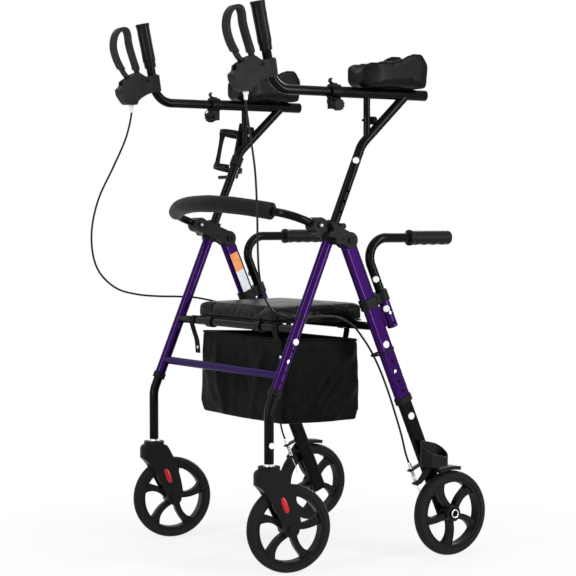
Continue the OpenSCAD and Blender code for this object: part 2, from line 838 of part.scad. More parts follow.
// Cushion whose skirt hangs round the edge of the seat board
module seat_cushion() color(vinyl_black) translate([0, seat_mid_y, pan_z + cushion_lift]) difference() {
    bar_z = seat_bar_z - pan_z - cushion_lift;
    cushion(seat_w - 2 * cushion_inset, seat_depth - 2 * cushion_inset, cushion_h, cushion_crown);
    translate([0, 0, -overrun]) linear_extrude(height = pan_t - cushion_lift + seat_gap + overrun)
        pan_outline(slide_gap);
    for (x = [-1, 1]) translate([x * clip_x_share * seat_w / 2, -seat_depth / 2 + seat_lip, bar_z])
        rod_x(seat_bar_d + 2 * (clip_wall + slide_gap), clip_w + 2 * slide_gap);
}

module bag_block(w, depth, h) {
    translate([-w / 2, -depth / 2, 0]) cube([w, depth, h]);
}

module bag() color(nylon_black) {
    bar_y = front_y(front_t_at(seat_bar_z));
    tab_low = bag_top_z - bag_wall;
    translate([0, bag_front_y + bag_depth / 2, bag_top_z - bag_h]) difference() {
        bag_block(bag_w, bag_depth, bag_h);
        translate([0, 0, bag_wall]) bag_block(bag_w - 2 * bag_wall, bag_depth - 2 * bag_wall, bag_h);
        side_plate(bag_w + 2 * overrun) polygon([
            [-bag_depth / 2 - overrun, bag_h], [bag_depth / 2 + overrun, bag_h - bag_rear_fall],
            [bag_depth / 2 + overrun, bag_h + overrun], [-bag_depth / 2 - overrun, bag_h + overrun]
        ]);
    }
    for (share = loop_x_shares) translate([share * bag_w / 2, 0, 0]) {
        difference() {
            union() {
                translate([0, bar_y, seat_bar_z]) rod_x(seat_bar_d + 2 * (slide_gap + loop_wall), loop_w);
                translate([-loop_w / 2, bag_front_y, tab_low])
                    cube([loop_w, bag_wall, seat_bar_z - tab_low]);
            }
            translate([0, bar_y, seat_bar_z]) rod_x(seat_bar_d + 2 * slide_gap, loop_w + 2 * overrun);
        }
    }
}

// Front legs, casters and wheels

module front_leg(side) color(tube_black) {
    on_side(side) difference() {
        translate([track, stem_y, 0]) {
            translate([0, 0, leg_bottom_z]) cylinder(h = leg_bend_z + bend_lap - leg_bottom_z, d = leg_d);
            translate([0, 0, leg_bend_z]) bend_and_run(leg_bend_r, front_lean, leg_d, leg_run);
        }
        translate([track, stem_y, leg_bottom_z - overrun])
            cylinder(h = stem_insert + overrun, d = stem_d + 2 * run_gap);
        along_front(front_button_t) translate([frame_bore / 2 - button_len - button_travel - free_gap, 0, 0])
            peg_x(button_d + 2 * run_gap, leg_d);
    }
}

module front_button(side) color(bright_steel) {
    on_side(side) along_front(front_button_t) round_button(button_len);
}

module at_caster(side) {
    translate([side * track, stem_y, 0]) rotate([0, 0, -caster_turn]) children();
}

module caster_fork(side) color(moulded_grey) {
    at_caster(side) {
        difference() {
            intersection() {
                translate([0, 0, wheel_r]) side_plate(fork_w) {
                    polygon(curve(scaled(fork_shares, fork_half, fork_rise), outline_steps));
                    translate([trail, 0]) circle(d = fork_end_d);
                }
                union() {
                    rotate_extrude($fn = 64) polygon([
                        [0, 0], [fork_nose_r, 0],
                        for (a = [0:15:90]) [
                            fork_nose_r - fork_brow_r * (1 - cos(a)),
                            fork_brow_z - fork_brow_r * (1 - sin(a))
                        ],
                        [0, fork_brow_z]
                    ]);
                    translate([-fork_w, 0, 0]) cube([2 * fork_w, 3 * trail, fork_top_z]);
                }
            }
            translate([0, trail, wheel_r]) {
                rod_x(2 * (wheel_r + tyre_clear), fork_gap);
                rod_x(axle_d + 2 * run_gap, fork_w + 2 * overrun);
            }
        }
        translate([0, 0, fork_top_z - fork_collar_h]) cylinder(h = fork_collar_h, d = fork_collar_d);
        translate([0, 0, fork_top_z - overrun])
            cylinder(h = leg_bottom_z + stem_insert - fork_top_z, d = stem_d);
        translate([0, 0, fork_top_z - overrun])
            cylinder(h = leg_bottom_z - fork_top_z + overrun - free_gap, d = stem_nut_d, $fn = 24);
        translate([0, trail, wheel_r]) headed_axle();
    }
}

module headed_axle() {
    rod_x(axle_d, fork_w + 2 * seat_gap + nut_t);
    for (end = [-1, 1]) translate([end * (fork_w / 2 + seat_gap + nut_t / 2), 0, 0]) rod_x(nut_d, nut_t);
}

// Bowed spokes that widen where they run into the rim band
function spoke_side(way) = [
    for (i = [0:spoke_steps]) let (
        f = i / spoke_steps,
        r = hub_d / 2 - overrun + f * (rim_r - rim_wall - hub_d / 2 + 2 * overrun),
        w = spoke_foot + f * (spoke_tip - spoke_foot) + spoke_flare * pow(f, spoke_flare_power)
    ) [r, way * w / 2 - 4 * spoke_bow * f * (1 - f)]
];

module wheel_rim(turn) {
    left_edge = spoke_side(1);
    right_edge = spoke_side(-1);
    rotate([0, 90, 0]) difference() {
        union() {
            translate([0, 0, -rim_w / 2]) linear_extrude(height = rim_w) ring(rim_d, rim_d - 2 * rim_wall);
            cylinder(h = hub_w, d = hub_d, center = true);
            for (k = [0:spoke_count - 1]) rotate([0, 0, turn + 360 * k / spoke_count])
                linear_extrude(height = spoke_w, center = true)
                    polygon(concat(right_edge, [for (i = [spoke_steps:-1:0]) left_edge[i]]));
        }
        cylinder(h = hub_w + 2 * overrun, d = axle_d + 2 * run_gap, center = true);
    }
}

module wheel_tyre() {
    inner = rim_r + seat_gap;
    rotate([0, 90, 0]) rotate_extrude($fn = 64) intersection() {
        translate([wheel_r - tyre_crown_r, 0]) circle(r = tyre_crown_r);
        translate([inner, -tyre_w / 2]) square([wheel_r - inner, tyre_w]);
    }
}

module at_front_wheel(side) {
    at_caster(side) translate([0, trail, wheel_r]) children();
}

module at_rear_wheel(side) {
    on_side(side) translate([track + rear_wheel_dx, rear_axle_y, wheel_r]) children();
}

module front_rim(side) color(moulded_grey) at_front_wheel(side) on_side(side) wheel_rim(front_spoke_turn);
module front_tyre(side) color(rubber_black) at_front_wheel(side) wheel_tyre();
module rear_rim(side) color(moulded_grey) at_rear_wheel(side) mirror([0, 1, 0]) wheel_rim(rear_spoke_turn);
module rear_tyre(side) color(rubber_black) at_rear_wheel(side) wheel_tyre();

// Rear frame, legs and brakes

module rear_frame() color(frame_purple) {
    both() along_rear() difference() {
        union() {
            translate([0, 0, rear_tube_start]) flat_round(rear_depth, rear_thick, rear_tube_len);
            translate([0, handle_offset, socket_s]) cylinder(h = socket_len, d = frame_tube_d);
            translate([-socket_web_t / 2, 0, socket_s + socket_web_in])
                cube([socket_web_t, handle_offset, socket_len - 2 * socket_web_in]);
        }
        translate([0, 0, rear_tube_start - overrun])
            flat_round(rear_inner_depth, rear_inner_thick, rear_tube_len + 2 * overrun);
        translate([0, handle_offset, socket_s - overrun])
            cylinder(h = socket_len + 2 * overrun, d = frame_bore);
        translate([0, 0, pivot_s]) rod_x(pivot_pin_d + 2 * run_gap, rear_thick + 2 * overrun);
        for (k = [-2:1]) translate([0, 0, rear_button_s + k * hole_pitch])
            peg_x(k == 0 ? button_d + 2 * slide_gap : hole_d, rear_thick);
        for (k = socket_holes) translate([0, handle_offset, socket_button_s + k * hole_pitch])
            peg_x(k == 0 ? button_d + 2 * slide_gap : hole_d, frame_tube_d);
    }
}

module rear_seat_bar() color(tube_black) {
    translate([0, rear_y(rear_s_at(seat_bar_z)), seat_bar_z])
        rod_x(seat_bar_d, 2 * track - rear_thick - 2 * seat_gap);
}

module rear_collars() color(moulded_grey) {
    rim = 2 * collar_over;
    wrap = 2 * (handle_clamp_wall + seat_gap);
    both() along_rear() {
        translate([0, 0, rear_tube_start - collar_len - seat_gap]) difference() {
            flat_round(rear_depth + rim, rear_thick + rim, collar_len);
            translate([0, 0, -overrun]) flat_round(rear_leg_depth + 2 * slide_gap,
                rear_leg_thick + 2 * slide_gap, collar_len + 2 * overrun);
        }
        translate([0, 0, socket_s + socket_len + seat_gap]) difference() {
            union() {
                flat_round(rear_depth + wrap, rear_thick + wrap, handle_clamp_h);
                translate([0, handle_offset, 0])
                    cylinder(h = handle_clamp_h, d = leg_d + 2 * slide_gap + wrap);
                translate([-rear_thick / 2, 0, 0]) cube([rear_thick, handle_offset, handle_clamp_h]);
            }
            translate([0, 0, -overrun]) {
                flat_round(rear_depth + 2 * seat_gap, rear_thick + 2 * seat_gap,
                    handle_clamp_h + 2 * overrun);
                translate([0, handle_offset, 0])
                    cylinder(h = handle_clamp_h + 2 * overrun, d = leg_d + 2 * slide_gap);
            }
        }
    }
}

module rear_leg(side) color(tube_black) {
    axle_len = rear_wheel_dx + hub_w / 2 + axle_side_gap + axle_cap_t;
    pin_len = rear_leg_thick / 2 + free_gap + brake_plate_t + free_gap;
    on_side(side) along_rear() {
        difference() {
            translate([0, 0, -rear_leg_end])
                flat_round(rear_leg_depth, rear_leg_thick, rear_leg_end + rear_tube_start + rear_insert);
            translate([rear_inner_thick / 2 - short_button_len - button_travel - free_gap, 0, rear_button_s])
                peg_x(button_d + 2 * run_gap, rear_leg_thick);
        }
        peg_x(axle_d, axle_len);
        peg_x(axle_spacer_d, hub_inner_x - axle_side_gap);
        translate([axle_len - axle_cap_t, 0, 0]) peg_x(axle_cap_d, axle_cap_t);
        translate([0, 0, brake_pivot_s]) {
            peg_x(pivot_pin_d, pin_len + pivot_cap_t);
            translate([pin_len, 0, 0]) peg_x(pivot_cap_d, pivot_cap_t);
        }
        difference() {
            translate([-brake_tab_w / 2, -spring_reach - anchor_over, anchor_s])
                cube([brake_tab_w, spring_reach + anchor_over - rear_leg_depth / 2 + overrun, anchor_t]);
            translate([0, -spring_reach, anchor_s - overrun])
                cylinder(h = anchor_t + 2 * overrun, d = cable_hole_d);
        }
    }
}

module rear_button(side) color(bright_steel) {
    on_side(side) along_rear(rear_button_s)
        snap_button(rear_inner_thick / 2 - button_tip_gap, short_button_len);
}

module brake_arm(side) color(moulded_grey) {
    plate_x = rear_leg_thick / 2 + free_gap;
    shoe_r = wheel_r + shoe_gap;
    shoe_x = rear_wheel_dx - tyre_w / 2;
    boss_r = pivot_pin_d / 2 + brake_bore_wall;
    tab_far = spring_reach + anchor_over;
    tab_near = spring_reach - anchor_over;
    tip_r = shoe_r + shoe_t / 2;
    tip_a = shoe_from + shoe_span / 2;
    on_side(side) along_rear() difference() {
        union() {
            translate([plate_x + brake_plate_t / 2, 0, 0]) side_plate(brake_plate_t) {
                translate([0, brake_pivot_s]) circle(r = boss_r);
                polygon([
                    [-tab_far, brake_tab_s], [-tab_near, brake_tab_s],
                    [0, brake_pivot_s - brake_neck_share * boss_r],
                    [tip_r * sin(tip_a), tip_r * cos(tip_a)],
                    [tip_r * sin(tip_a), tip_r * cos(tip_a) + shoe_t / 2],
                    [0, brake_pivot_s + brake_neck_share * boss_r], [-tab_far, brake_tab_s + brake_tab_t]
                ]);
            }
            translate([-brake_tab_w / 2, edge_inset - tab_far, brake_tab_s + edge_inset])
                cube([brake_tab_w / 2 + plate_x + brake_plate_t / 2, 2 * (anchor_over - edge_inset),
                    brake_tab_t - edge_inset]);
            rotate([90, 0, 90]) rotate([0, 0, 90 - shoe_from - shoe_span])
                rotate_extrude(angle = shoe_span, $fn = 64)
                    translate([shoe_r, plate_x + edge_inset])
                        square([shoe_t, shoe_x + tyre_w - plate_x - edge_inset]);
        }
        translate([0, 0, brake_pivot_s]) peg_x(pivot_pin_d + 2 * run_gap, plate_x + brake_plate_t + overrun);
        translate([0, -spring_reach, brake_tab_s - overrun])
            cylinder(h = brake_tab_t + 2 * overrun, d = cable_hole_d);
    }
}

spring_low = brake_tab_s + brake_tab_t + seat_gap;
spring_high = anchor_s - seat_gap;
spring_rise = spring_high - spring_low - spring_wire_d;
spring_path = [
    for (i = [0:spring_turns * curl_rings]) let (f = i / (spring_turns * curl_rings))
        [spring_r * cos(360 * i / curl_rings), spring_r * sin(360 * i / curl_rings), spring_rise * f]
];
spring_self_gap = min([for (i = [0:curl_rings * (spring_turns - 1)])
    norm(spring_path[i + curl_rings] - spring_path[i])]) - spring_wire_d;
echo(spring_self_gap = spring_self_gap);

module brake_spring(side) color(bright_steel) {
    on_side(side) along_rear(spring_low + spring_wire_d / 2) translate([0, -spring_reach, 0])
        sweep(spring_path, spring_wire_d / 2, wire_sides);
}

// Oval cup with a slanting rim and a round seat in its floor
module cane_cup() color(moulded_grey) {
    face_x = track + rear_leg_thick / 2 + seat_gap;
    block_y = rear_y(rear_s_at(cane_block_z + cane_block_h / 2));
    difference() {
        union() {
            translate([cane_x, cane_y, cane_z]) flat_round(cane_len, cane_w, cane_rise);
            translate([face_x, block_y - cane_block_depth / 2, cane_block_z])
                cube([cane_out - (cane_w - cane_wall + rear_leg_thick) / 2, cane_block_depth, cane_block_h]);
        }
        translate([cane_x, cane_y, cane_z + cane_floor]) cylinder(h = cane_rise, d = cane_bore_d);
        translate([cane_x, cane_y, cane_z + cane_floor + cane_seat])
            flat_round(cane_len - 2 * cane_wall, cane_w - 2 * cane_wall, cane_rise);
        translate([cane_x + cane_w / 2, cane_y, cane_z + cane_h]) rotate([-cane_back, cane_slope, 0])
            translate([-2 * cane_w, -cane_len, 0]) cube([3 * cane_w, 2 * cane_len, cane_rise]);
    }
}

// Rear push handles

module rear_handle(side) color(tube_black) {
    on_side(side) along_rear() translate([0, handle_offset, 0]) difference() {
        union() {
            translate([0, 0, rear_handle_start])
                cylinder(h = rear_bend_s + bend_lap - rear_handle_start, d = leg_d);
            translate([0, 0, rear_bend_s]) bend_and_run(rear_bend_r, rear_bend_turn, leg_d, rear_run);
        }
        translate([frame_bore / 2 - short_button_len - button_travel - free_gap, 0, socket_button_s])
            peg_x(button_d + 2 * run_gap, leg_d);
    }
}

module rear_grip(side) color(rubber_black) {
    on_side(side) along_rear() translate([0, handle_offset, rear_bend_s])
        after_bend(rear_bend_r, rear_bend_turn)
            translate([0, 0, rear_run + rear_grip_cap - rear_grip_len]) difference() {
                cylinder(h = rear_grip_len, d = rear_grip_d);
                translate([0, 0, -overrun])
                    cylinder(h = rear_grip_len - rear_grip_cap + overrun + seat_gap,
                        d = leg_d + 2 * seat_gap);
            }
}

module handle_button(side) color(bright_steel) {
    on_side(side) along_rear(socket_button_s) translate([0, handle_offset, 0])
        round_button(short_button_len);
}

// Uprights, armrests and front handles

module upright(side) color(tube_black) {
    clamp_y = arm_front_y + clamp_len / 2;
    on_side(side) difference() {
        union() {
            along_front(upright_start)
                cylinder(h = upright_bend_t - upright_tangent + bend_lap - upright_start, d = leg_d);
            along_front(upright_bend_t - upright_tangent)
                bend_and_run(upright_bend_r, diagonal_lean - front_lean, leg_d, diagonal_run);
            translate([track, strut_y, strut_low_z]) cylinder(h = arm_z - strut_low_z, d = strut_d);
            translate([track, strut_y, arm_z - strut_knob_drop]) rotate([-90, 0, 0]) {
                translate([0, 0, -strut_d / 2 - strut_screw_out])
                    cylinder(h = strut_d + strut_screw_out + 2 * strut_knob_out, d = strut_screw_d);
                translate([0, 0, strut_d / 2 + strut_knob_out]) cylinder(h = strut_knob_t, d = strut_knob_d);
            }
            translate([track, arm_rear_y, arm_z]) rotate([90, 0, 0])
                cylinder(h = arm_rear_y - arm_front_y, d = frame_tube_d);
            translate([track, arm_front_y + clamp_len, arm_z]) rotate([90, 0, 0])
                cylinder(h = clamp_len, d = clamp_d);
            translate([track - clamp_ear_w / 2, arm_front_y, arm_z - clamp_ear_drop])
                cube([clamp_ear_w, clamp_len, clamp_ear_drop]);
        }
        translate([track, arm_rear_y - arm_plug, arm_z]) rotate([90, 0, 0])
            cylinder(h = arm_rear_y - arm_plug - arm_front_y + overrun, d = frame_bore);
        translate([track - clamp_slit / 2, arm_front_y - overrun, arm_z - clamp_ear_drop - overrun])
            cube([clamp_slit, clamp_len + overrun, clamp_ear_drop + overrun]);
        translate([track, clamp_y, arm_z - clamp_screw_drop])
            rod_x(clamp_screw_d + 2 * slide_gap, clamp_ear_w + 2 * overrun);
        along_front(upright_start - overrun)
            cylinder(h = upright_bend_t - 2 * upright_tangent - upright_start, d = leg_d - 2 * frame_wall);
        for (k = upright_holes) along_front(bracket_t + k * hole_pitch) peg_x(hole_d, leg_d);
    }
}

module arm_pad(side) color(vinyl_black) {
    on_side(side) translate([track, pad_front_y, pad_bottom_z]) difference() {
        side_plate(pad_w) polygon(scaled(pad_shares, pad_len, pad_h));
        translate([0, -overrun, pad_floor + trough_r]) rotate([-90, 0, 0])
            cylinder(h = pad_len + 2 * overrun, r = trough_r, $fn = 48);
        translate([-trough_r, -overrun, pad_floor + trough_r])
            cube([2 * trough_r, pad_len + 2 * overrun, pad_h]);
    }
}

module clamp_knob(side) color(moulded_grey) {
    on_side(side) translate([track, arm_front_y + clamp_len / 2, arm_z - clamp_screw_drop]) {
        translate([-clamp_ear_w / 2 - seat_gap, 0, 0])
            peg_x(clamp_screw_d, clamp_ear_w + 2 * seat_gap + overrun);
        translate([-clamp_ear_w / 2 - seat_gap - bolt_head_t, 0, 0]) peg_x(bolt_head_d, bolt_head_t);
        translate([clamp_ear_w / 2 + seat_gap, 0, 0]) difference() {
            peg_x(clamp_knob_d, clamp_knob_t);
            for (k = [0:knob_flutes - 1]) rotate([360 * k / knob_flutes, 0, 0])
                translate([-overrun, 0, clamp_knob_d / 2]) peg_x(flute_d, clamp_knob_t + 2 * overrun);
        }
    }
}

module handle_tube(side) color(tube_black) {
    on_side(side) translate([track, handle_inner_y, arm_z]) rotate([90, 0, 0]) {
        cylinder(h = handle_inner_len + bend_lap, d = leg_d);
        translate([0, 0, handle_inner_len]) bend_and_run(handle_bend_r, handle_turn, leg_d, grip_core);
    }
}

module hand_grip(side) color(rubber_black) {
    bore_len = handle_tangent + grip_core + seat_gap - grip_start;
    on_side(side) along_grip() translate([0, 0, grip_start]) difference() {
        cylinder(h = grip_len, d = grip_d);
        translate([0, 0, -overrun]) cylinder(h = bore_len + overrun, d = leg_d + 2 * seat_gap);
    }
}

module at_lever() {
    translate([track, lever_pivot_y, lever_pivot_z]) children();
}

module brake_housing(side) color(moulded_grey) {
    on_side(side) {
        difference() {
            union() {
                at_lever() side_plate(housing_w)
                    polygon(scaled(housing_shares, housing_reach, housing_drop));
                along_grip() translate([0, 0, sleeve_from]) cylinder(h = sleeve_len, d = sleeve_d);
            }
            translate([track, handle_bend_y, arm_z]) rotate([90, 0, 0])
                bend_and_run(handle_bend_r, handle_turn, leg_d + 2 * seat_gap, grip_start + grip_len);
            at_lever() side_plate(lever_slot_t) {
                circle(d = lever_root_d + 4 * free_gap);
                translate([-housing_reach - overrun, -housing_drop / 4])
                    square([housing_reach + overrun, housing_mouth]);
            }
        }
        at_lever() rod_x(lever_pin_d, housing_w);
    }
}

// Outline of a strap of even thickness along a middle line
function strap(middle, t) = let (
    n = len(middle),
    way = [for (i = [0:n - 1]) unit(middle[min(i + 1, n - 1)] - middle[max(i - 1, 0)])]
) concat(
    [for (i = [0:n - 1]) middle[i] + t / 2 * [-way[i][1], way[i][0]]],
    [for (i = [n - 1:-1:0]) middle[i] - t / 2 * [-way[i][1], way[i][0]]]
);

module lever_loop() {
    for (shares = [lever_shares, lever_foot_shares])
        polygon(strap(curve(scaled(shares, lever_reach, lever_h), lever_steps), lever_t));
}

module brake_lever(side) color(moulded_grey) {
    on_side(side) at_lever() difference() {
        union() {
            intersection() {
                side_plate(lever_w) lever_loop();
                translate([-lever_w / 2, -2 * lever_reach, lever_shares[2][1] * lever_h])
                    cube([lever_w, 2 * lever_reach, lever_h]);
            }
            side_plate(lever_root_t) {
                lever_loop();
                circle(d = lever_root_d);
            }
        }
        rod_x(lever_pin_d + 2 * run_gap, lever_w + 2 * overrun);
    }
}

module brake_cables() color(tube_black) {
    for (route = [cable_left, cable_right]) sweep(curve(route, cable_steps), cable_d / 2, cable_sides);
}

// Cup holder on the outside of the right upright

module cup_holder() color(moulded_grey) {
    band_d = cup_ring_d + 2 * cup_band_t;
    band_r = (cup_ring_d + cup_band_t) / 2;
    foot_z = -cup_ring_pitch / 2 - cup_foot_drop;
    difference() {
        union() {
            translate([cup_x, cup_y, cup_z]) rotate([-cup_lean, 0, 0]) {
                for (z = [-1, 1]) translate([0, 0, z * cup_ring_pitch / 2 - cup_band_h / 2])
                    pipe(cup_band_h, band_d, cup_ring_d);
                translate([band_r, -cup_spine_w / 2, -cup_spine_len / 2])
                    cube([cup_spine_t, cup_spine_w, cup_spine_len]);
                rotate([0, 0, cup_strip_angle]) translate([band_r, 0, 0]) side_plate(cup_strip_t)
                    polygon(scaled(cup_strip_shares, cup_strip_w, cup_ring_pitch));
                translate([-band_r, 0, foot_z - cup_bar_d / 2]) rotate([0, 90, 0])
                    cylinder(h = 2 * band_r + cup_spine_t / 2, d = cup_bar_d, $fn = 24);
            }
            on_side(-1) along_front(cup_clip_t) {
                cylinder(h = cup_clip_h, d = leg_d + 2 * (seat_gap + cup_clip_wall));
                translate([0, -cup_spine_w / 4, 0])
                    cube([leg_d / 2 + cup_link, cup_spine_w / 2, cup_clip_h]);
            }
        }
        on_side(-1) along_front(upright_start)
            cylinder(h = upright_bend_t - upright_start, d = leg_d + 2 * seat_gap);
    }
}

front_frame();
front_collars();
hinge_brackets();
hinge_pins();
backrest_tube();
backrest_foam();
seat_bar();
seat_pan();
seat_cushion();
bag();
star_knob(1);  // star_knob_left
star_knob(-1);  // star_knob_right
front_leg(1);  // front_leg_left
front_leg(-1);  // front_leg_right
front_button(1);  // front_button_left
front_button(-1);  // front_button_right
caster_fork(1);  // caster_fork_left
caster_fork(-1);  // caster_fork_right
front_rim(1);  // front_rim_left
front_rim(-1);  // front_rim_right
front_tyre(1);  // front_tyre_left
front_tyre(-1);  // front_tyre_right
rear_frame();
rear_seat_bar();
rear_collars();
rear_leg(1);  // rear_leg_left
rear_leg(-1);  // rear_leg_right
rear_button(1);  // rear_button_left
rear_button(-1);  // rear_button_right
rear_rim(1);  // rear_rim_left
rear_rim(-1);  // rear_rim_right
rear_tyre(1);  // rear_tyre_left
rear_tyre(-1);  // rear_tyre_right
brake_arm(1);  // brake_arm_left
brake_arm(-1);  // brake_arm_right
brake_spring(1);  // brake_spring_left
brake_spring(-1);  // brake_spring_right
cane_cup();
rear_handle(1);  // rear_handle_left
rear_handle(-1);  // rear_handle_right
rear_grip(1);  // rear_grip_left
rear_grip(-1);  // rear_grip_right
handle_button(1);  // handle_button_left
handle_button(-1);  // handle_button_right
upright(1);  // upright_left
upright(-1);  // upright_right
arm_pad(1);  // arm_pad_left
arm_pad(-1);  // arm_pad_right
clamp_knob(1);  // clamp_knob_left
clamp_knob(-1);  // clamp_knob_right
cup_holder();
handle_tube(1);  // handle_tube_left
handle_tube(-1);  // handle_tube_right
hand_grip(1);  // hand_grip_left
hand_grip(-1);  // hand_grip_right
brake_housing(1);  // brake_housing_left
brake_housing(-1);  // brake_housing_right
brake_lever(1);  // brake_lever_left
brake_lever(-1);  // brake_lever_right
brake_cables();
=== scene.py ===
import json
import math

import bmesh
import bpy
from mathutils import Matrix, Vector, noise


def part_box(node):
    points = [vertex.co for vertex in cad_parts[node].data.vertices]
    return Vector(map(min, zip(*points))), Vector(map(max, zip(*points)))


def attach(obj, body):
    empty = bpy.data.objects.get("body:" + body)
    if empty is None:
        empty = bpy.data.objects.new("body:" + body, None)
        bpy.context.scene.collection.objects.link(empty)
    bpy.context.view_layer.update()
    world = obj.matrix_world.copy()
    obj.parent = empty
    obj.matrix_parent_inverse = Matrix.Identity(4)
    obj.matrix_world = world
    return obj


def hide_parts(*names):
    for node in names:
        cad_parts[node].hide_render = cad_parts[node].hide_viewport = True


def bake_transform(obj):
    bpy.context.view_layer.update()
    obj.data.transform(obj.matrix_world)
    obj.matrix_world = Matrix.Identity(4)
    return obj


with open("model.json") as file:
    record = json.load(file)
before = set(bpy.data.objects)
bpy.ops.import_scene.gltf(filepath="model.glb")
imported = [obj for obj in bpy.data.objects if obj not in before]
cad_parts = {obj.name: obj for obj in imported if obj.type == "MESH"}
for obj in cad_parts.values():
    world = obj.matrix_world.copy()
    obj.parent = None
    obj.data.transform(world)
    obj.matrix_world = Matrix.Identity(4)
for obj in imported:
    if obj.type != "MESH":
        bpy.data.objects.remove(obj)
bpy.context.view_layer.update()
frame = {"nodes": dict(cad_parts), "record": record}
nodes = frame["nodes"]
scene = bpy.context.scene
scene.view_settings.view_transform = "Standard"

# Places of the frame, in metres: x to the walker's left, -y the way it travels, z up
TRACK = 0.274
SIDES = (("left", 1), ("right", -1))
FRONT_FOOT = Vector((0, -0.2484, 0.4114))
FRONT_LEAN = math.radians(22.7)
FRONT_UP = Vector((0, math.sin(FRONT_LEAN), math.cos(FRONT_LEAN)))
REAR_AXLE = Vector((0, 0.2177, 0.1))
REAR_LEAN = math.radians(23.3)
REAR_UP = Vector((0, -math.sin(REAR_LEAN), math.cos(REAR_LEAN)))
REAR_BACK = Vector((0, math.cos(REAR_LEAN), math.sin(REAR_LEAN)))
CASTER_TURN = math.radians(-10)
STEM_Y = -0.2665
GRIP_TILT = math.radians(12.1)
GRIP_UP = Vector((0, -math.sin(GRIP_TILT), math.cos(GRIP_TILT)))
HANDLE_CORNER = Vector((0, -0.255, 1.080))

# Camera at the photograph's angle
azimuth, elevation = math.radians(57.973), math.radians(2.158)
back = Vector((math.sin(azimuth) * math.cos(elevation), -math.cos(azimuth) * math.cos(elevation), math.sin(elevation)))
camera = bpy.data.objects.new("camera", bpy.data.cameras.new("camera"))
camera.data.lens = 112.15
camera.data.sensor_width = 36
camera.data.clip_end = 60
camera.location = (3.66894, -2.34021, 0.78919)
camera.rotation_mode = "QUATERNION"
camera.rotation_quaternion = (-back).to_track_quat("-Z", "Y")
scene.collection.objects.link(camera)
scene.camera = camera


# Mesh building

def smooth_line(points, steps):
    """Points on a smooth curve through the given ones."""
    p = [Vector(q) for q in points]
    line = []
    for i in range(len(p) - 1):
        a, b, c, d = p[max(i - 1, 0)], p[i], p[i + 1], p[min(i + 2, len(p) - 1)]
        for k in range(steps):
            f = k / steps
            line.append((2 * b + (c - a) * f + (2 * a - 5 * b + 4 * c - d) * f * f
                         + (3 * b - a - 3 * c + d) * f ** 3) / 2)
    return line + [p[-1]]


def length_of(line):
    return sum((b - a).length for a, b in zip(line, line[1:]))


def mesh_piece(name, verts, faces, smooth=True):
    mesh = bpy.data.meshes.new(name)
    mesh.from_pydata([tuple(v) for v in verts], [], faces)
    mesh.update()
    made = bmesh.new()
    made.from_mesh(mesh)
    bmesh.ops.recalc_face_normals(made, faces=made.faces)
    made.to_mesh(mesh)
    made.free()
    mesh.polygons.foreach_set("use_smooth", [smooth] * len(mesh.polygons))
    piece = bpy.data.objects.new(name, mesh)
    scene.collection.objects.link(piece)
    return piece


def even_ring(outline, count):
    """Points at even steps round a closed outline."""
    closed = outline + [outline[0]]
    total = length_of(closed)
    ring, walked, i = [], 0.0, 0
    for n in range(count):
        want = total * n / count
        while walked + (closed[i + 1] - closed[i]).length < want:
            walked += (closed[i + 1] - closed[i]).length
            i += 1
        ring.append(closed[i].lerp(closed[i + 1], (want - walked) / (closed[i + 1] - closed[i]).length))
    return ring


def ring_faces(rings, sides, closed=False, caps=True, first=0):
    """Faces between rings of points, with first the number of the first point; closed joins the last to the first."""
    faces = []
    for i in range(rings if closed else rings - 1):
        j = (i + 1) % rings
        for k in range(sides):
            m = (k + 1) % sides
            faces.append((i * sides + k, i * sides + m, j * sides + m, j * sides + k))
    if caps and not closed:
        faces.append(tuple(range(sides)))
        faces.append(tuple((rings - 1) * sides + k for k in range(sides)))
    return [tuple(first + v for v in face) for face in faces]


def tube_verts(line, radius, sides, closed=False):
    """Rings of points round a line; radius is one number or one per point."""
    n = len(line)
    radii = radius if isinstance(radius, list) else [radius] * n
    verts, side = [], None
    for i in range(n):
        if closed:
            way = (line[(i + 1) % n] - line[i - 1]).normalized()
        else:
            way = (line[min(i + 1, n - 1)] - line[max(i - 1, 0)]).normalized()
        if side is None:
            side = way.orthogonal().normalized()
        side = (side - way * side.dot(way)).normalized()
        other = way.cross(side)
        for k in range(sides):
            a = 2 * math.pi * k / sides
            verts.append(line[i] + radii[i] * (math.cos(a) * side + math.sin(a) * other))
    return verts


def tube(name, line, radius, sides=12, closed=False):
    return mesh_piece(name, tube_verts(line, radius, sides, closed), ring_faces(len(line), sides, closed))


def lathe(name, profile, place, way, sides=40, shape=None, hollow=False):
    """Turned piece: profile is (distance along way, radius), a loop where hollow; shape may change the radius."""
    way = Vector(way).normalized()
    side = (Vector((0, 0, 1)) if abs(way.z) < 0.9 else Vector((1, 0, 0)))
    side = (side - way * side.dot(way)).normalized()
    other = way.cross(side)
    verts = []
    for along, r in profile:
        for k in range(sides):
            a = 2 * math.pi * k / sides
            rr = shape(along, a, r) if shape else r
            verts.append(Vector(place) + along * way + rr * (math.cos(a) * side + math.sin(a) * other))
    return mesh_piece(name, verts, ring_faces(len(profile), sides, closed=hollow))


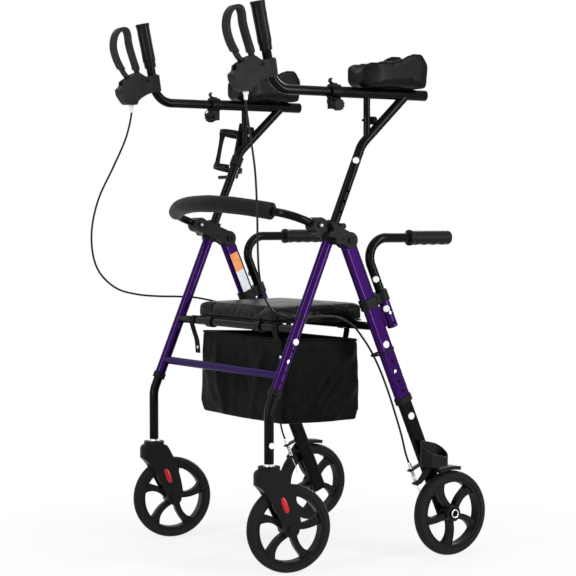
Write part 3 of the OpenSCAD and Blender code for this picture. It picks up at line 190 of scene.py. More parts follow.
def belt(name, circles, origin, u, v, w, width, thick):
    """Flat band drawn tight round circles (place along u, place along v, radius); w is across the band."""
    points, steps = [], 48
    for cu, cv, r in circles:
        for k in range(steps):
            a = 2 * math.pi * k / steps
            points.append((cu + r * math.cos(a), cv + r * math.sin(a)))
    points = sorted(set(points))

    def half(rows):
        """One side of the outline drawn tight round the points."""
        out = []
        for p in rows:
            while len(out) > 1 and ((out[-1][0] - out[-2][0]) * (p[1] - out[-2][1])
                                    - (out[-1][1] - out[-2][1]) * (p[0] - out[-2][0])) <= 0:
                out.pop()
            out.append(p)
        return out[:-1]

    outline = half(points) + half(points[::-1])
    n = len(outline)
    mid = (sum(p[0] for p in outline) / n, sum(p[1] for p in outline) / n)
    verts = []
    for i, p in enumerate(outline):
        q, s = outline[i - 1], outline[(i + 1) % n]
        way = Vector((s[0] - q[0], s[1] - q[1])).normalized()
        out = Vector((way.y, -way.x))
        if out.dot(Vector((p[0] - mid[0], p[1] - mid[1]))) < 0:
            out = -out
        for grow, across in ((0, -0.5), (thick, -0.5), (thick, 0.5), (0, 0.5)):
            at = Vector(p) + out * grow
            verts.append(Vector(origin) + at.x * u + at.y * v + across * width * w)
    return mesh_piece(name, verts, ring_faces(n, 4, closed=True), smooth=False)


def soften(piece, rounds):
    made = bmesh.new()
    made.from_mesh(piece.data)
    for _ in range(rounds):
        bmesh.ops.smooth_vert(made, verts=made.verts, factor=0.5, use_axis_x=True, use_axis_y=True, use_axis_z=True)
    made.to_mesh(piece.data)
    made.free()


def apply_modifiers(piece):
    shown = piece.evaluated_get(bpy.context.evaluated_depsgraph_get())
    mesh = bpy.data.meshes.new_from_object(shown)
    piece.modifiers.clear()
    piece.data = mesh
    mesh.polygons.foreach_set("use_smooth", [True] * len(mesh.polygons))


def remesh(piece, voxel):
    mod = piece.modifiers.new("remesh", "REMESH")
    mod.mode = "VOXEL"
    mod.voxel_size = voxel
    apply_modifiers(piece)


def puff(piece, pressure, cap, floor):
    """Swells a padded piece as cloth under pressure; no point moves more than cap or below floor."""
    rest = [v.co.copy() for v in piece.data.vertices]
    frames = 20
    cloth = piece.modifiers.new("cloth", "CLOTH")
    cloth.settings.quality = 4
    cloth.settings.use_pressure = True
    cloth.settings.uniform_pressure_force = pressure
    cloth.settings.effector_weights.gravity = 0
    cloth.point_cache.frame_start = 1
    cloth.point_cache.frame_end = frames
    for f in range(frames):
        scene.frame_set(f + 1)
    shown = piece.evaluated_get(bpy.context.evaluated_depsgraph_get())
    moved = [v.co.copy() for v in shown.data.vertices]
    piece.modifiers.clear()
    scene.frame_set(1)
    for vert, a, b in zip(piece.data.vertices, rest, moved):
        step = b - a
        if step.length > cap:
            step = step.normalized() * cap
        vert.co = a + step
    for vert in piece.data.vertices:
        vert.co.z = max(vert.co.z, floor)
    piece.data.update()


def stitch_row(name, line, stitch=0.0032, gap=0.0018, radius=0.00035):
    """Row of short threads laid along a line, as one mesh."""
    verts, faces, walked, want, sides = [], [], 0.0, 0.0, 6
    for a, b in zip(line, line[1:]):
        span = (b - a).length
        way = (b - a) / span
        side = way.orthogonal().normalized()
        other = way.cross(side)
        while want <= walked + span:
            at = a.lerp(b, (want - walked) / span)
            faces += ring_faces(4, sides, first=len(verts))
            for along, share in ((0, 0.4), (0.15, 1), (0.85, 1), (1, 0.4)):
                for k in range(sides):
                    c = 2 * math.pi * k / sides
                    out = math.cos(c) * side + math.sin(c) * other
                    verts.append(at + way * along * stitch + radius * share * out)
            want += stitch + gap
        walked += span
    return mesh_piece(name, verts, faces)


def subdivide(piece):
    mod = piece.modifiers.new("subdivision", "SUBSURF")
    mod.levels = 1
    mod.render_levels = 1


# Materials

def shade(name, low, high, rough, grain=900, bump=0.15, depth=0.0002, pattern="noise", bevel=0.0, **sockets):
    """Procedural surface: two colours mottled by noise, roughness that varies, and a bumped grain."""
    mat = bpy.data.materials.new(name)
    mat.use_nodes = True
    tree = mat.node_tree
    link = tree.links.new
    skin = tree.nodes["Principled BSDF"]
    for socket, value in sockets.items():
        skin.inputs[socket.replace("_", " ")].default_value = value
    place = tree.nodes.new("ShaderNodeTexCoord").outputs["Object"]

    def noise_node(scale, detail):
        node = tree.nodes.new("ShaderNodeTexNoise")
        node.inputs["Scale"].default_value = scale
        node.inputs["Detail"].default_value = detail
        link(place, node.inputs["Vector"])
        return node.outputs["Fac"]

    ramp = tree.nodes.new("ShaderNodeValToRGB")
    ramp.color_ramp.elements[0].position = 0.36
    ramp.color_ramp.elements[1].position = 0.66
    ramp.color_ramp.elements[0].color = (*low, 1)
    ramp.color_ramp.elements[1].color = (*high, 1)
    link(noise_node(grain / 6, 5), ramp.inputs["Fac"])
    link(ramp.outputs["Color"], skin.inputs["Base Color"])

    span = tree.nodes.new("ShaderNodeMapRange")
    span.inputs["From Min"].default_value = 0.3
    span.inputs["From Max"].default_value = 0.7
    span.inputs["To Min"].default_value = rough[0]
    span.inputs["To Max"].default_value = rough[1]
    link(noise_node(38, 4), span.inputs["Value"])
    link(span.outputs["Result"], skin.inputs["Roughness"])

    if pattern == "noise":
        height = noise_node(grain, 3)
    elif pattern in ("grain", "cells"):
        cells = tree.nodes.new("ShaderNodeTexVoronoi")
        if pattern == "grain":
            cells.feature = "DISTANCE_TO_EDGE"
        cells.inputs["Scale"].default_value = grain
        link(place, cells.inputs["Vector"])
        height = cells.outputs["Distance"]
    else:
        waves = []
        for axis in ("X", "Y", "Z"):
            wave = tree.nodes.new("ShaderNodeTexWave")
            wave.bands_direction = axis
            wave.inputs["Scale"].default_value = grain
            wave.inputs["Distortion"].default_value = 0.6
            wave.inputs["Detail Scale"].default_value = 0.4
            link(place, wave.inputs["Vector"])
            waves.append(wave.outputs["Fac"])
        height = waves[0]
        for other in waves[1:]:
            add = tree.nodes.new("ShaderNodeMath")
            add.operation = "ADD"
            link(height, add.inputs[0])
            link(other, add.inputs[1])
            height = add.outputs["Value"]
    relief = tree.nodes.new("ShaderNodeBump")
    relief.inputs["Strength"].default_value = bump
    relief.inputs["Distance"].default_value = depth
    link(height, relief.inputs["Height"])
    if bevel:
        edge = tree.nodes.new("ShaderNodeBevel")
        edge.samples = 4
        edge.inputs["Radius"].default_value = bevel
        link(edge.outputs["Normal"], relief.inputs["Normal"])
    link(relief.outputs["Normal"], skin.inputs["Normal"])
    return mat


MATERIALS = {
    "purple_paint": shade("purple_paint", (0.019, 0.0014, 0.052), (0.029, 0.0024, 0.080), (0.14, 0.19), 2600, 0.01,
                          0.0001, Metallic=0.4, Coat_Weight=0.14, Coat_Roughness=0.08, Specular_IOR_Level=0.03,
                          Specular_Tint=(0.30, 0.10, 0.55, 1)),
    "black_paint": shade("black_paint", (0.0016, 0.0016, 0.0018), (0.0028, 0.0028, 0.0031), (0.12, 0.18), 420, 0.01,
                         0.0001, Specular_IOR_Level=0.07),
    "black_moulding": shade("black_moulding", (0.0064, 0.0064, 0.0070), (0.0096, 0.0096, 0.0104), (0.34, 0.46), 2300,
                            0.2, 0.0002, bevel=0.0016, Specular_IOR_Level=0.06),
    "rim_plastic": shade("rim_plastic", (0.0070, 0.0070, 0.0076), (0.0110, 0.0110, 0.0118), (0.32, 0.44), 1900, 0.2,
                         0.0002, bevel=0.0018, Specular_IOR_Level=0.06),
    "tyre_rubber": shade("tyre_rubber", (0.0085, 0.0085, 0.0090), (0.0130, 0.0130, 0.0137), (0.48, 0.62), 1300, 0.3,
                         0.0003, bevel=0.001, Specular_IOR_Level=0.06),
    "foam": shade("foam", (0.0075, 0.0075, 0.0080), (0.0125, 0.0125, 0.0132), (0.44, 0.58), 1500, 0.35, 0.0003,
                  "cells", Specular_IOR_Level=0.06),
    "vinyl": shade("vinyl", (0.0036, 0.0036, 0.0039), (0.0060, 0.0060, 0.0064), (0.26, 0.36), 700, 0.12, 0.0002,
                   "grain", Specular_IOR_Level=0.055),
    "nylon": shade("nylon", (0.0026, 0.0026, 0.0028), (0.0048, 0.0048, 0.0051), (0.38, 0.50), 420, 0.3, 0.0003,
                   "weave", Specular_IOR_Level=0.03),
    "grip_rubber": shade("grip_rubber", (0.0048, 0.0048, 0.0052), (0.0080, 0.0080, 0.0085), (0.26, 0.38), 1200, 0.16,
                         0.0002, Specular_IOR_Level=0.09),
    "cable_jacket": shade("cable_jacket", (0.0060, 0.0060, 0.0064), (0.0100, 0.0100, 0.0106), (0.30, 0.42), 1600, 0.1,
                          0.0001, Specular_IOR_Level=0.12),
    "bright_steel": shade("bright_steel", (0.62, 0.62, 0.64), (0.78, 0.78, 0.80), (0.14, 0.28), 1500, 0.06, 0.0001,
                          Metallic=1.0),
}
white_cap = shade("white_cap", (0.74, 0.74, 0.74), (0.82, 0.82, 0.82), (0.32, 0.42), 1500, 0.06, 0.0001)
red_inlay = shade("red_inlay", (0.40, 0.005, 0.012), (0.50, 0.009, 0.018), (0.22, 0.32), 1200, 0.08, 0.0001,
                  Coat_Weight=0.2, Coat_Roughness=0.1, Specular_IOR_Level=0.2)
orange_tape = shade("orange_tape", (0.72, 0.20, 0.012), (0.80, 0.26, 0.020), (0.34, 0.46), 900, 0.2, 0.0001, "grain")
pale_tape = shade("pale_tape", (0.60, 0.64, 0.70), (0.72, 0.75, 0.80), (0.30, 0.44), 900, 0.2, 0.0001, "grain")
dark_thread = shade("dark_thread", (0.014, 0.014, 0.015), (0.026, 0.026, 0.027), (0.6, 0.75), 1600, 0.3, 0.0002)

for entry in frame["record"]["subparts"]:
    nodes[entry["node"]].material_slots[0].material = MATERIALS[entry["material_slot"]]


def dress(piece, body, material):
    piece.data.materials.clear()
    piece.data.materials.append(material)
    if body:
        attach(piece, body)
    return piece


# Brake cables: routes of the CAD cables, each cut where it passes from one body to the next

CABLE_D = 0.005
CABLES = {
    "left": [
        (0.274, -0.326, 1.0718), (0.274, -0.325, 1.040), (0.277, -0.317, 0.980), (0.280, -0.306, 0.900),
        (0.279, -0.300, 0.810), (0.275, -0.296, 0.730), (0.268, -0.288, 0.670), (0.258, -0.270, 0.622),
        (0.246, -0.238, 0.586), (0.240, -0.200, 0.571), (0.238, -0.160, 0.567), (0.238, -0.110, 0.570),
        (0.240, -0.060, 0.566), (0.243, -0.020, 0.546), (0.247, 0.004, 0.518), (0.254, 0.022, 0.488),
        (0.262, 0.042, 0.444), (0.267, 0.063, 0.390), (0.270, 0.080, 0.340), (0.272, 0.097, 0.288),
        (0.274, 0.108, 0.244), (0.274, 0.1233, 0.2079)],
    "right": [
        (-0.274, -0.326, 1.0718), (-0.274, -0.328, 1.040), (-0.274, -0.344, 0.985), (-0.275, -0.378, 0.915),
        (-0.276, -0.414, 0.845), (-0.278, -0.432, 0.775), (-0.280, -0.430, 0.710), (-0.284, -0.408, 0.660),
        (-0.290, -0.360, 0.622), (-0.296, -0.300, 0.606), (-0.299, -0.240, 0.600), (-0.300, -0.185, 0.598),
        (-0.297, -0.140, 0.595), (-0.286, -0.104, 0.588), (-0.262, -0.074, 0.578), (-0.250, -0.040, 0.560),
        (-0.247, -0.010, 0.532), (-0.250, 0.010, 0.504), (-0.254, 0.022, 0.488), (-0.262, 0.042, 0.444),
        (-0.267, 0.063, 0.390), (-0.270, 0.080, 0.340), (-0.272, 0.097, 0.288), (-0.274, 0.108, 0.244),
        (-0.274, 0.1233, 0.2079)],
}
CABLE_STEPS = 6
# last route point of each piece: it starts on one body and ends on the next
CABLE_CUTS = {"left": (3, 9, 15, 21), "right": (3, 11, 18, 24)}

for side, _ in SIDES:
    route = smooth_line(CABLES[side], CABLE_STEPS)
    first = 0
    for i, last in enumerate(CABLE_CUTS[side]):
        line = route[first * CABLE_STEPS:last * CABLE_STEPS + 1]
        piece = tube(f"cable_{side}_{i + 1}", line, CABLE_D / 2, 12)
        dress(piece, None, MATERIALS["cable_jacket"])
        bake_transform(piece)
        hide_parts("brake_cables")
        first = last


# Seat cushion: crowned pad with pulled-in sides, swollen as cloth, with a piping seam

SEAT_SIDES = 96
SEAT_CORNER_POWER = 0.08
# how far the cushion's skirt hangs below its node, and how much higher the rear of its top lies
SKIRT = 0.0055
REAR_RISE = 0.0055


def seat_ring(w, d, share, z, sides=SEAT_SIDES):
    ring = []
    for k in range(sides):
        a = 2 * math.pi * (k + 0.5) / sides
        x = math.copysign(abs(math.cos(a)) ** SEAT_CORNER_POWER, math.cos(a))
        y = math.copysign(abs(math.sin(a)) ** SEAT_CORNER_POWER, math.sin(a))
        ring.append(Vector((w / 2 * share * x, d / 2 * share * y, z)))
    return ring


low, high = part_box("seat_cushion")
seat_mid = (low + high) / 2
seat_w, seat_d, seat_base = high.x - low.x, high.y - low.y, low.z - SKIRT
seat_h = high.z - seat_base
# shares of the outline and of the height, from the hollow underside out to the skirt and up over the crown
seat_levels = [(0.10, 0.20), (0.50, 0.20), (0.90, 0.20), (0.945, 0.18), (0.952, 0.02), (0.975, 0.0), (0.999, 0.03),
               (1.0, 0.08), (1.0, 0.20), (1.0, 0.45), (0.999, 0.62), (0.995, 0.72), (0.984, 0.80), (0.955, 0.855),
               (0.85, 0.90), (0.65, 0.945), (0.38, 0.975), (0.12, 0.99)]
verts = []
for share, level in seat_levels:
    for v in seat_ring(seat_w, seat_d, share, seat_base + level * seat_h):
        rise = REAR_RISE * level * (v.y / seat_d + 0.5)
        verts.append(v + Vector((seat_mid.x, seat_mid.y, rise)))
cushion = mesh_piece("seat_pad", verts, ring_faces(len(seat_levels), SEAT_SIDES))
remesh(cushion, 0.0035)
soften(cushion, 2)
puff(cushion, 4, 0.006, seat_base)
soften(cushion, 1)
subdivide(cushion)
dress(cushion, "seat", MATERIALS["vinyl"])
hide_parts("seat_cushion")

seam = [v + Vector((seat_mid.x, seat_mid.y, 0))
        for v in seat_ring(seat_w, seat_d, 0.999, seat_base + 0.09 * seat_h, 160)]
dress(tube("seat_piping", seam, 0.0016, 8, closed=True), "seat", MATERIALS["vinyl"])


# Forearm pads: troughs with a narrow nose and high rear walls

# share of the pad's length, and of its height, along the top of its walls
PAD_TOP = [(0.00, 0.62), (0.16, 0.725), (0.46, 0.785), (0.56, 0.845), (0.64, 0.935), (0.72, 0.985), (0.80, 0.995),
           (0.89, 0.985), (1.00, 0.68)]


def at_share(table, f):
    for (a, va), (b, vb) in zip(table, table[1:]):
        if f <= b:
            return va + (vb - va) * (f - a) / (b - a)
    return table[-1][1]


PAD_SIDES = 64


def pad_section(half, top, floor, trough, centre_z):
    """Closed outline of the pad across its length: flat under, upright sides, round trough."""
    reach = math.sqrt(max(trough ** 2 - max(centre_z - top, 0) ** 2, 1e-6))
    reach = min(reach, half - 0.006)
    outline = [Vector((-half + 0.004, 0)), Vector((-half, 0.006)), Vector((-half, top - 0.006)),
               Vector((-half + 0.005, top)), Vector((-reach, top))]
    start = math.acos(min(max(reach / trough, -1), 1))
    for k in range(1, 16):
        a = math.pi + start + (math.pi - 2 * start) * k / 16
        outline.append(Vector((trough * math.cos(a), max(centre_z + trough * math.sin(a), floor))))
    outline += [Vector((reach, top)), Vector((half - 0.005, top)), Vector((half, top - 0.006)), Vector((half, 0.006)),
                Vector((half - 0.004, 0))]
    return even_ring(outline, PAD_SIDES)


for side, _ in SIDES:
    low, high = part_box(f"arm_pad_{side}")
    middle, base = (low.x + high.x) / 2, low.z
    long, tall, wide = high.y - low.y, high.z - low.z, high.x - low.x
    verts, rows = [], 46
    for i in range(rows):
        f = i / (rows - 1)
        end = 1 - (1 - min(f / 0.05, 1)) ** 2 * 0.10 - max((f - 0.96) / 0.04, 0) ** 2 * 0.06
        ease = min(f / 0.24, 1)
        nose = 0.86 + 0.14 * (3 * ease ** 2 - 2 * ease ** 3)
        half = (wide / 2 - 0.001) * nose * end
        top = at_share(PAD_TOP, f) * tall - 0.001
        scoop = 0.004 * (1 - min(f / 0.18, 1)) ** 2
        for p in pad_section(half, top, 0.031 - scoop, 0.038 * nose, 0.069 - scoop):
            lift = 0.012 * (1 - min(f / 0.10, 1)) ** 2 * (1 - min(p.y / 0.03, 1))
            tuck = 0.006 * max((f - 0.9) / 0.1, 0) * (1 - min(p.y / (0.7 * tall), 1))
            verts.append(Vector((middle + p.x, low.y + 0.001 + f * (long - 0.002) - max(tuck, 0),
                                 base + p.y + max(lift, 0))))
    pad = mesh_piece(f"forearm_pad_{side}", verts, ring_faces(rows, PAD_SIDES))
    remesh(pad, 0.004)
    soften(pad, 3)
    puff(pad, 3, 0.003, base)
    soften(pad, 2)
    subdivide(pad)
    dress(pad, f"upright_{side}", MATERIALS["vinyl"])
    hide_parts(f"arm_pad_{side}")


# Backrest foam sleeve: one soft tube round the long bow of the backrest, cut square at both ends

BACKREST_TILT = math.radians(20)
backrest_out = Vector((0, -math.cos(BACKREST_TILT), math.sin(BACKREST_TILT)))
backrest_base = Vector((0, -0.1416, 0.7783))
bend_r, bend_from, bend_turn = 0.057, 0.031, math.radians(60)
bow_r = (TRACK - bend_r * (1 - math.cos(bend_turn))) / math.cos(bend_turn)
bow_centre = bend_from + (bend_r - bow_r) * math.sin(bend_turn)
line = []
for k in range(61):
    a = math.radians(63 + 54 * k / 60)
    line.append(backrest_base + backrest_out * (bow_centre + bow_r * math.sin(a)) + Vector((bow_r * math.cos(a), 0, 0)))
thick = [0.0198 + 0.0006 * noise.noise(p * 22) for p in line]
way_in, way_out = (line[0] - line[1]).normalized(), (line[-1] - line[-2]).normalized()
line = ([line[0] + way_in * 0.0018, line[0] + way_in * 0.0012] + line
        + [line[-1] + way_out * 0.0012, line[-1] + way_out * 0.0018])
foam = tube("backrest_sleeve", line, [0.0098, 0.0186] + thick + [0.0186, 0.0098], 40)
dress(foam, "front_frame", MATERIALS["foam"])
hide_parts("backrest_foam")


# Bag: sagging nylon shell with a rolled hem, hung by webbing loops

bag_top, bag_base = 0.519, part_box("bag")[0].z
bag_mid_y = (-0.18193 + 0.03607) / 2
BAG_W, BAG_D, BAG_H = 0.392, 0.218, 0.197
BAG_CORNER, REAR_FALL = 0.014, 0.008


def bag_ring(sides):
    """The bag's plain outline seen from above, a rectangle with round corners."""
    in_w, in_d = BAG_W / 2 - BAG_CORNER, BAG_D / 2 - BAG_CORNER
    outline = []
    for cx, cy, start in ((1, 1, 0), (-1, 1, 90), (-1, -1, 180), (1, -1, 270)):
        for i in range(9):
            a = math.radians(start + 90 * i / 8)
            outline.append(Vector((cx * in_w + BAG_CORNER * math.cos(a), cy * in_d + BAG_CORNER * math.sin(a), 0)))
    return even_ring(outline, sides)


# folds of the hanging cloth: whether it lies on the front or rear panel, its two ends as (place along the panel,
# share of the height), and its depth
BAG_FOLDS = [
    (False, (0.090, 0.86), (-0.020, 0.20), 0.0120), (False, (0.100, 0.45), (0.030, 0.04), 0.0085),
    (False, (-0.080, 0.85), (-0.062, 0.10), 0.0045), (True, (0.110, 0.90), (0.060, 0.10), 0.0045),
    (True, (-0.120, 0.80), (-0.070, 0.05), 0.0055), (True, (-0.020, 0.45), (-0.035, 0.02), 0.0040),
]


def bag_fold(along, f, on_end):
    depth = 0.0
    for lies_on_end, (a0, f0), (a1, f1), deep in BAG_FOLDS:
        if lies_on_end == on_end:
            t = min(max((f - f1) / (f0 - f1), 0), 1)
            off = along - (a1 + (a0 - a1) * t)
            fade = min(max((f - f1 + 0.15) / 0.15, 0), 1) * min(max((f0 + 0.15 - f) / 0.15, 0), 1)
            depth += deep * fade * math.exp(-(off / 0.014) ** 2)
    return depth


def bag_wall(p, f, lift=0.0):
    """Place on the hanging bag's outside: p on its plain outline, f from floor to rim."""
    past_x = max(abs(p.x) - BAG_W / 2 + BAG_CORNER, 0)
    past_y = max(abs(p.y) - BAG_D / 2 + BAG_CORNER, 0)
    out = Vector((math.copysign(past_x, p.x), math.copysign(past_y, p.y), 0)).normalized()
    on_end = past_y > past_x
    along, reach = (p.x, BAG_W / 2) if on_end else (p.y, BAG_D / 2)
    middle = 1 - min(abs(along) / reach, 1) ** 2
    rim = bag_top - REAR_FALL * (p.y / BAG_D + 0.5)
    z = bag_base + 0.007 * (1 - f) + (rim - bag_base) * f - 0.009 * middle * (1 - f) ** 3
    slack = min(4 * (1 - abs(along) / reach), 1) * math.sin(math.pi * min(0.12 + f * 0.95, 1))
    folds = 0.0050 * noise.noise(Vector((p.x * 11, p.y * 11, z * 9 + p.x * 7))) + bag_fold(along, f, on_end)
    crease = 0.0022 * noise.noise(Vector((p.x * 36 + z * 24, p.y * 36 - z * 18, z * 12 + 3.7)))
    hold = 1 - 0.8 * max((f - 0.84) / 0.16, 0)
    drawn_in = 1 - 0.02 * f * f - 0.018 * max(1 - f / 0.07, 0) ** 2
    swell = (0.006 * slack + folds * (0.3 + 0.7 * slack) + crease) * hold
    return Vector((p.x * drawn_in, bag_mid_y + p.y * drawn_in, z)) + out * (swell - 0.004 + lift)


BAG_SIDES = 176
verts, rows = [], 0
for share in (0.03, 0.2, 0.45, 0.7, 0.88, 0.965):
    drop = 0.007 * (1 - share ** 2)
    verts += [Vector((p.x * share, bag_mid_y + p.y * share, bag_base - drop)) for p in bag_ring(BAG_SIDES)]
    rows += 1
for i in range(33):
    verts += [bag_wall(p, i / 32) for p in bag_ring(BAG_SIDES)]
    rows += 1
bag = mesh_piece("bag_shell", verts, ring_faces(rows, BAG_SIDES, caps=False))
mod = bag.modifiers.new("cloth_thickness", "SOLIDIFY")
mod.thickness = 0.0016
mod.offset = -1
apply_modifiers(bag)
subdivide(bag)
dress(bag, "front_frame", MATERIALS["nylon"])
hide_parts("bag")
hem = [bag_wall(p, 0.985, -0.0004) for p in bag_ring(200)]
dress(tube("bag_hem", hem, 0.0036, 10, closed=True), "front_frame", MATERIALS["nylon"])
for i, f in enumerate((0.915, 0.955)):
    row = [bag_wall(p, f, 0.0006) for p in bag_ring(400)]
    dress(stitch_row(f"bag_hem_stitches_{i + 1}", row), "front_frame", dark_thread)
for i, (x, y) in enumerate(((1, 1), (-1, 1), (-1, -1), (1, -1))):
    corner = Vector((x * (BAG_W / 2 - 0.0041), y * (BAG_D / 2 - 0.0041), 0))
    seam = [bag_wall(corner, 0.08 + 0.88 * n / 40, 0.0003) for n in range(41)]
    dress(tube(f"bag_corner_seam_{i + 1}", seam, 0.0014, 8), "front_frame", MATERIALS["nylon"])


def webbing(name, line, across, width, thick=0.0014):
    """Flat strap along a line; across is its width direction."""
    verts = []
    for i, p in enumerate(line):
        way = (line[min(i + 1, len(line) - 1)] - line[max(i - 1, 0)]).normalized()
        out = way.cross(across).normalized()
        for u, v in ((-0.5, -0.5), (0.5, -0.5), (0.5, 0.5), (-0.5, 0.5)):
            verts.append(p + across * width * u + out * thick * v)
    return mesh_piece(name, verts, ring_faces(len(line), 4), smooth=False)


ACROSS = Vector((1, 0, 0))
bar_front = Vector((0, -0.19293, 0.544))
bar_rear = Vector((0, 0.02648, 0.544))
STRAP_W = 0.022


def round_bar(bar, x, start, sweep, steps):
    """Way of a strap round a seat bar, from start through sweep, in degrees."""
    loop_r = 0.0112
    angles = [math.radians(start + sweep * k / steps) for k in range(steps + 1)]
    return [bar + Vector((x, loop_r * math.cos(a), loop_r * math.sin(a))) for a in angles]


for i, x in enumerate((-0.194, 0.194)):
    line = round_bar(bar_front, x, -60, 255, 12)
    hang = [line[-1], (x, -0.1995, 0.526), (x, -0.1935, 0.509), (x, -0.1880, 0.491), (x, -0.1856, 0.463)]
    line += smooth_line(hang, 4)[1:]
    strap = webbing(f"bag_strap_{i + 1}", line, ACROSS, STRAP_W)
    dress(strap, "front_frame", MATERIALS["nylon"])
    stud = [(-0.001, 0.0044), (0.0004, 0.0044), (0.0012, 0.0036), (0.0015, 0.0018), (0.0015, 0.0001)]
    dress(lathe(f"bag_stud_{i + 1}", stud, (x, -0.1868, 0.477), (0, -1, 0), 24), "front_frame",
          MATERIALS["bright_steel"])
for i, x in enumerate((-0.13, 0.13)):
    line = smooth_line([(x, 0.0302, 0.472), (x, 0.0318, 0.492), (x, 0.0345, 0.510), (x, 0.0382, 0.528)], 4)
    line += round_bar(bar_rear, x, -20, 260, 10)
    strap = webbing(f"bag_rear_strap_{i + 1}", line, ACROSS, STRAP_W)
    dress(strap, None, MATERIALS["nylon"])
    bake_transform(strap)


# Grips

for side, k in SIDES:
    profile = [(0, 0.0117), (0.0004, 0.0138), (0.002, 0.0144), (0.014, 0.0146), (0.0155, 0.0150), (0.017, 0.0158),
               (0.022, 0.0161), (0.045, 0.0159), (0.075, 0.0160), (0.098, 0.0162), (0.1025, 0.0166), (0.1045, 0.0174),
               (0.1080, 0.0175), (0.1096, 0.0169), (0.1100, 0.0150), (0.1100, 0.0060), (0.1092, 0.0002)]

    def finger(along, angle, r):
        wave = 0.0006 * math.sin(along * 2 * math.pi / 0.024) if 0.024 < along < 0.096 else 0
        return r + wave * max(0, -math.cos(angle))

    foot = HANDLE_CORNER + Vector((k * TRACK, 0, 0)) + GRIP_UP * 0.086
    grip = lathe(f"hand_grip_skin_{side}", profile, foot, GRIP_UP, 48, finger)
    dress(grip, f"handle_{side}", MATERIALS["grip_rubber"])
    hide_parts(f"hand_grip_{side}")

    profile = [(0, 0.0117), (0.0004, 0.0170), (0.002, 0.0186), (0.008, 0.0186), (0.011, 0.0174), (0.014, 0.0166)]
    profile += [(0.014 + 0.098 * i / 40, 0.0168) for i in range(1, 41)]
    profile += [(0.1145, 0.0170), (0.1178, 0.0158), (0.1194, 0.0125), (0.1200, 0.0060), (0.1200, 0.0002)]

    def rest_shape(along, angle, r):
        under = max(0, -math.cos(angle))
        wave = 0.0007 * math.sin((along - 0.014) * 2 * math.pi / 0.026) if 0.014 < along < 0.110 else 0
        return r + wave * under ** 2

    low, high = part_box(f"rear_grip_{side}")
    grip = lathe(f"rear_grip_skin_{side}", profile, (k * TRACK, low.y, (low.z + high.z) / 2), (0, 1, 0), 48, rest_shape)
    dress(grip, f"rear_handle_{side}", MATERIALS["grip_rubber"])
    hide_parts(f"rear_grip_{side}")


# Small fittings

def cap_disc(name, place, way, d, body):
    """White plastic cap with a dimple, on a face whose outward direction is way."""
    r, t = d / 2, 0.0022
    profile = [(-0.0005, r * 0.92), (0.0002, r), (t * 0.45, r), (t * 0.8, r * 0.93), (t, r * 0.80),
               (t * 1.05, r * 0.46), (t * 0.8, r * 0.36), (t * 0.8, 0.0001)]
    dress(lathe(name, profile, place, way, 36), body, white_cap)


FACES = (("outer", 1), ("inner", -1))


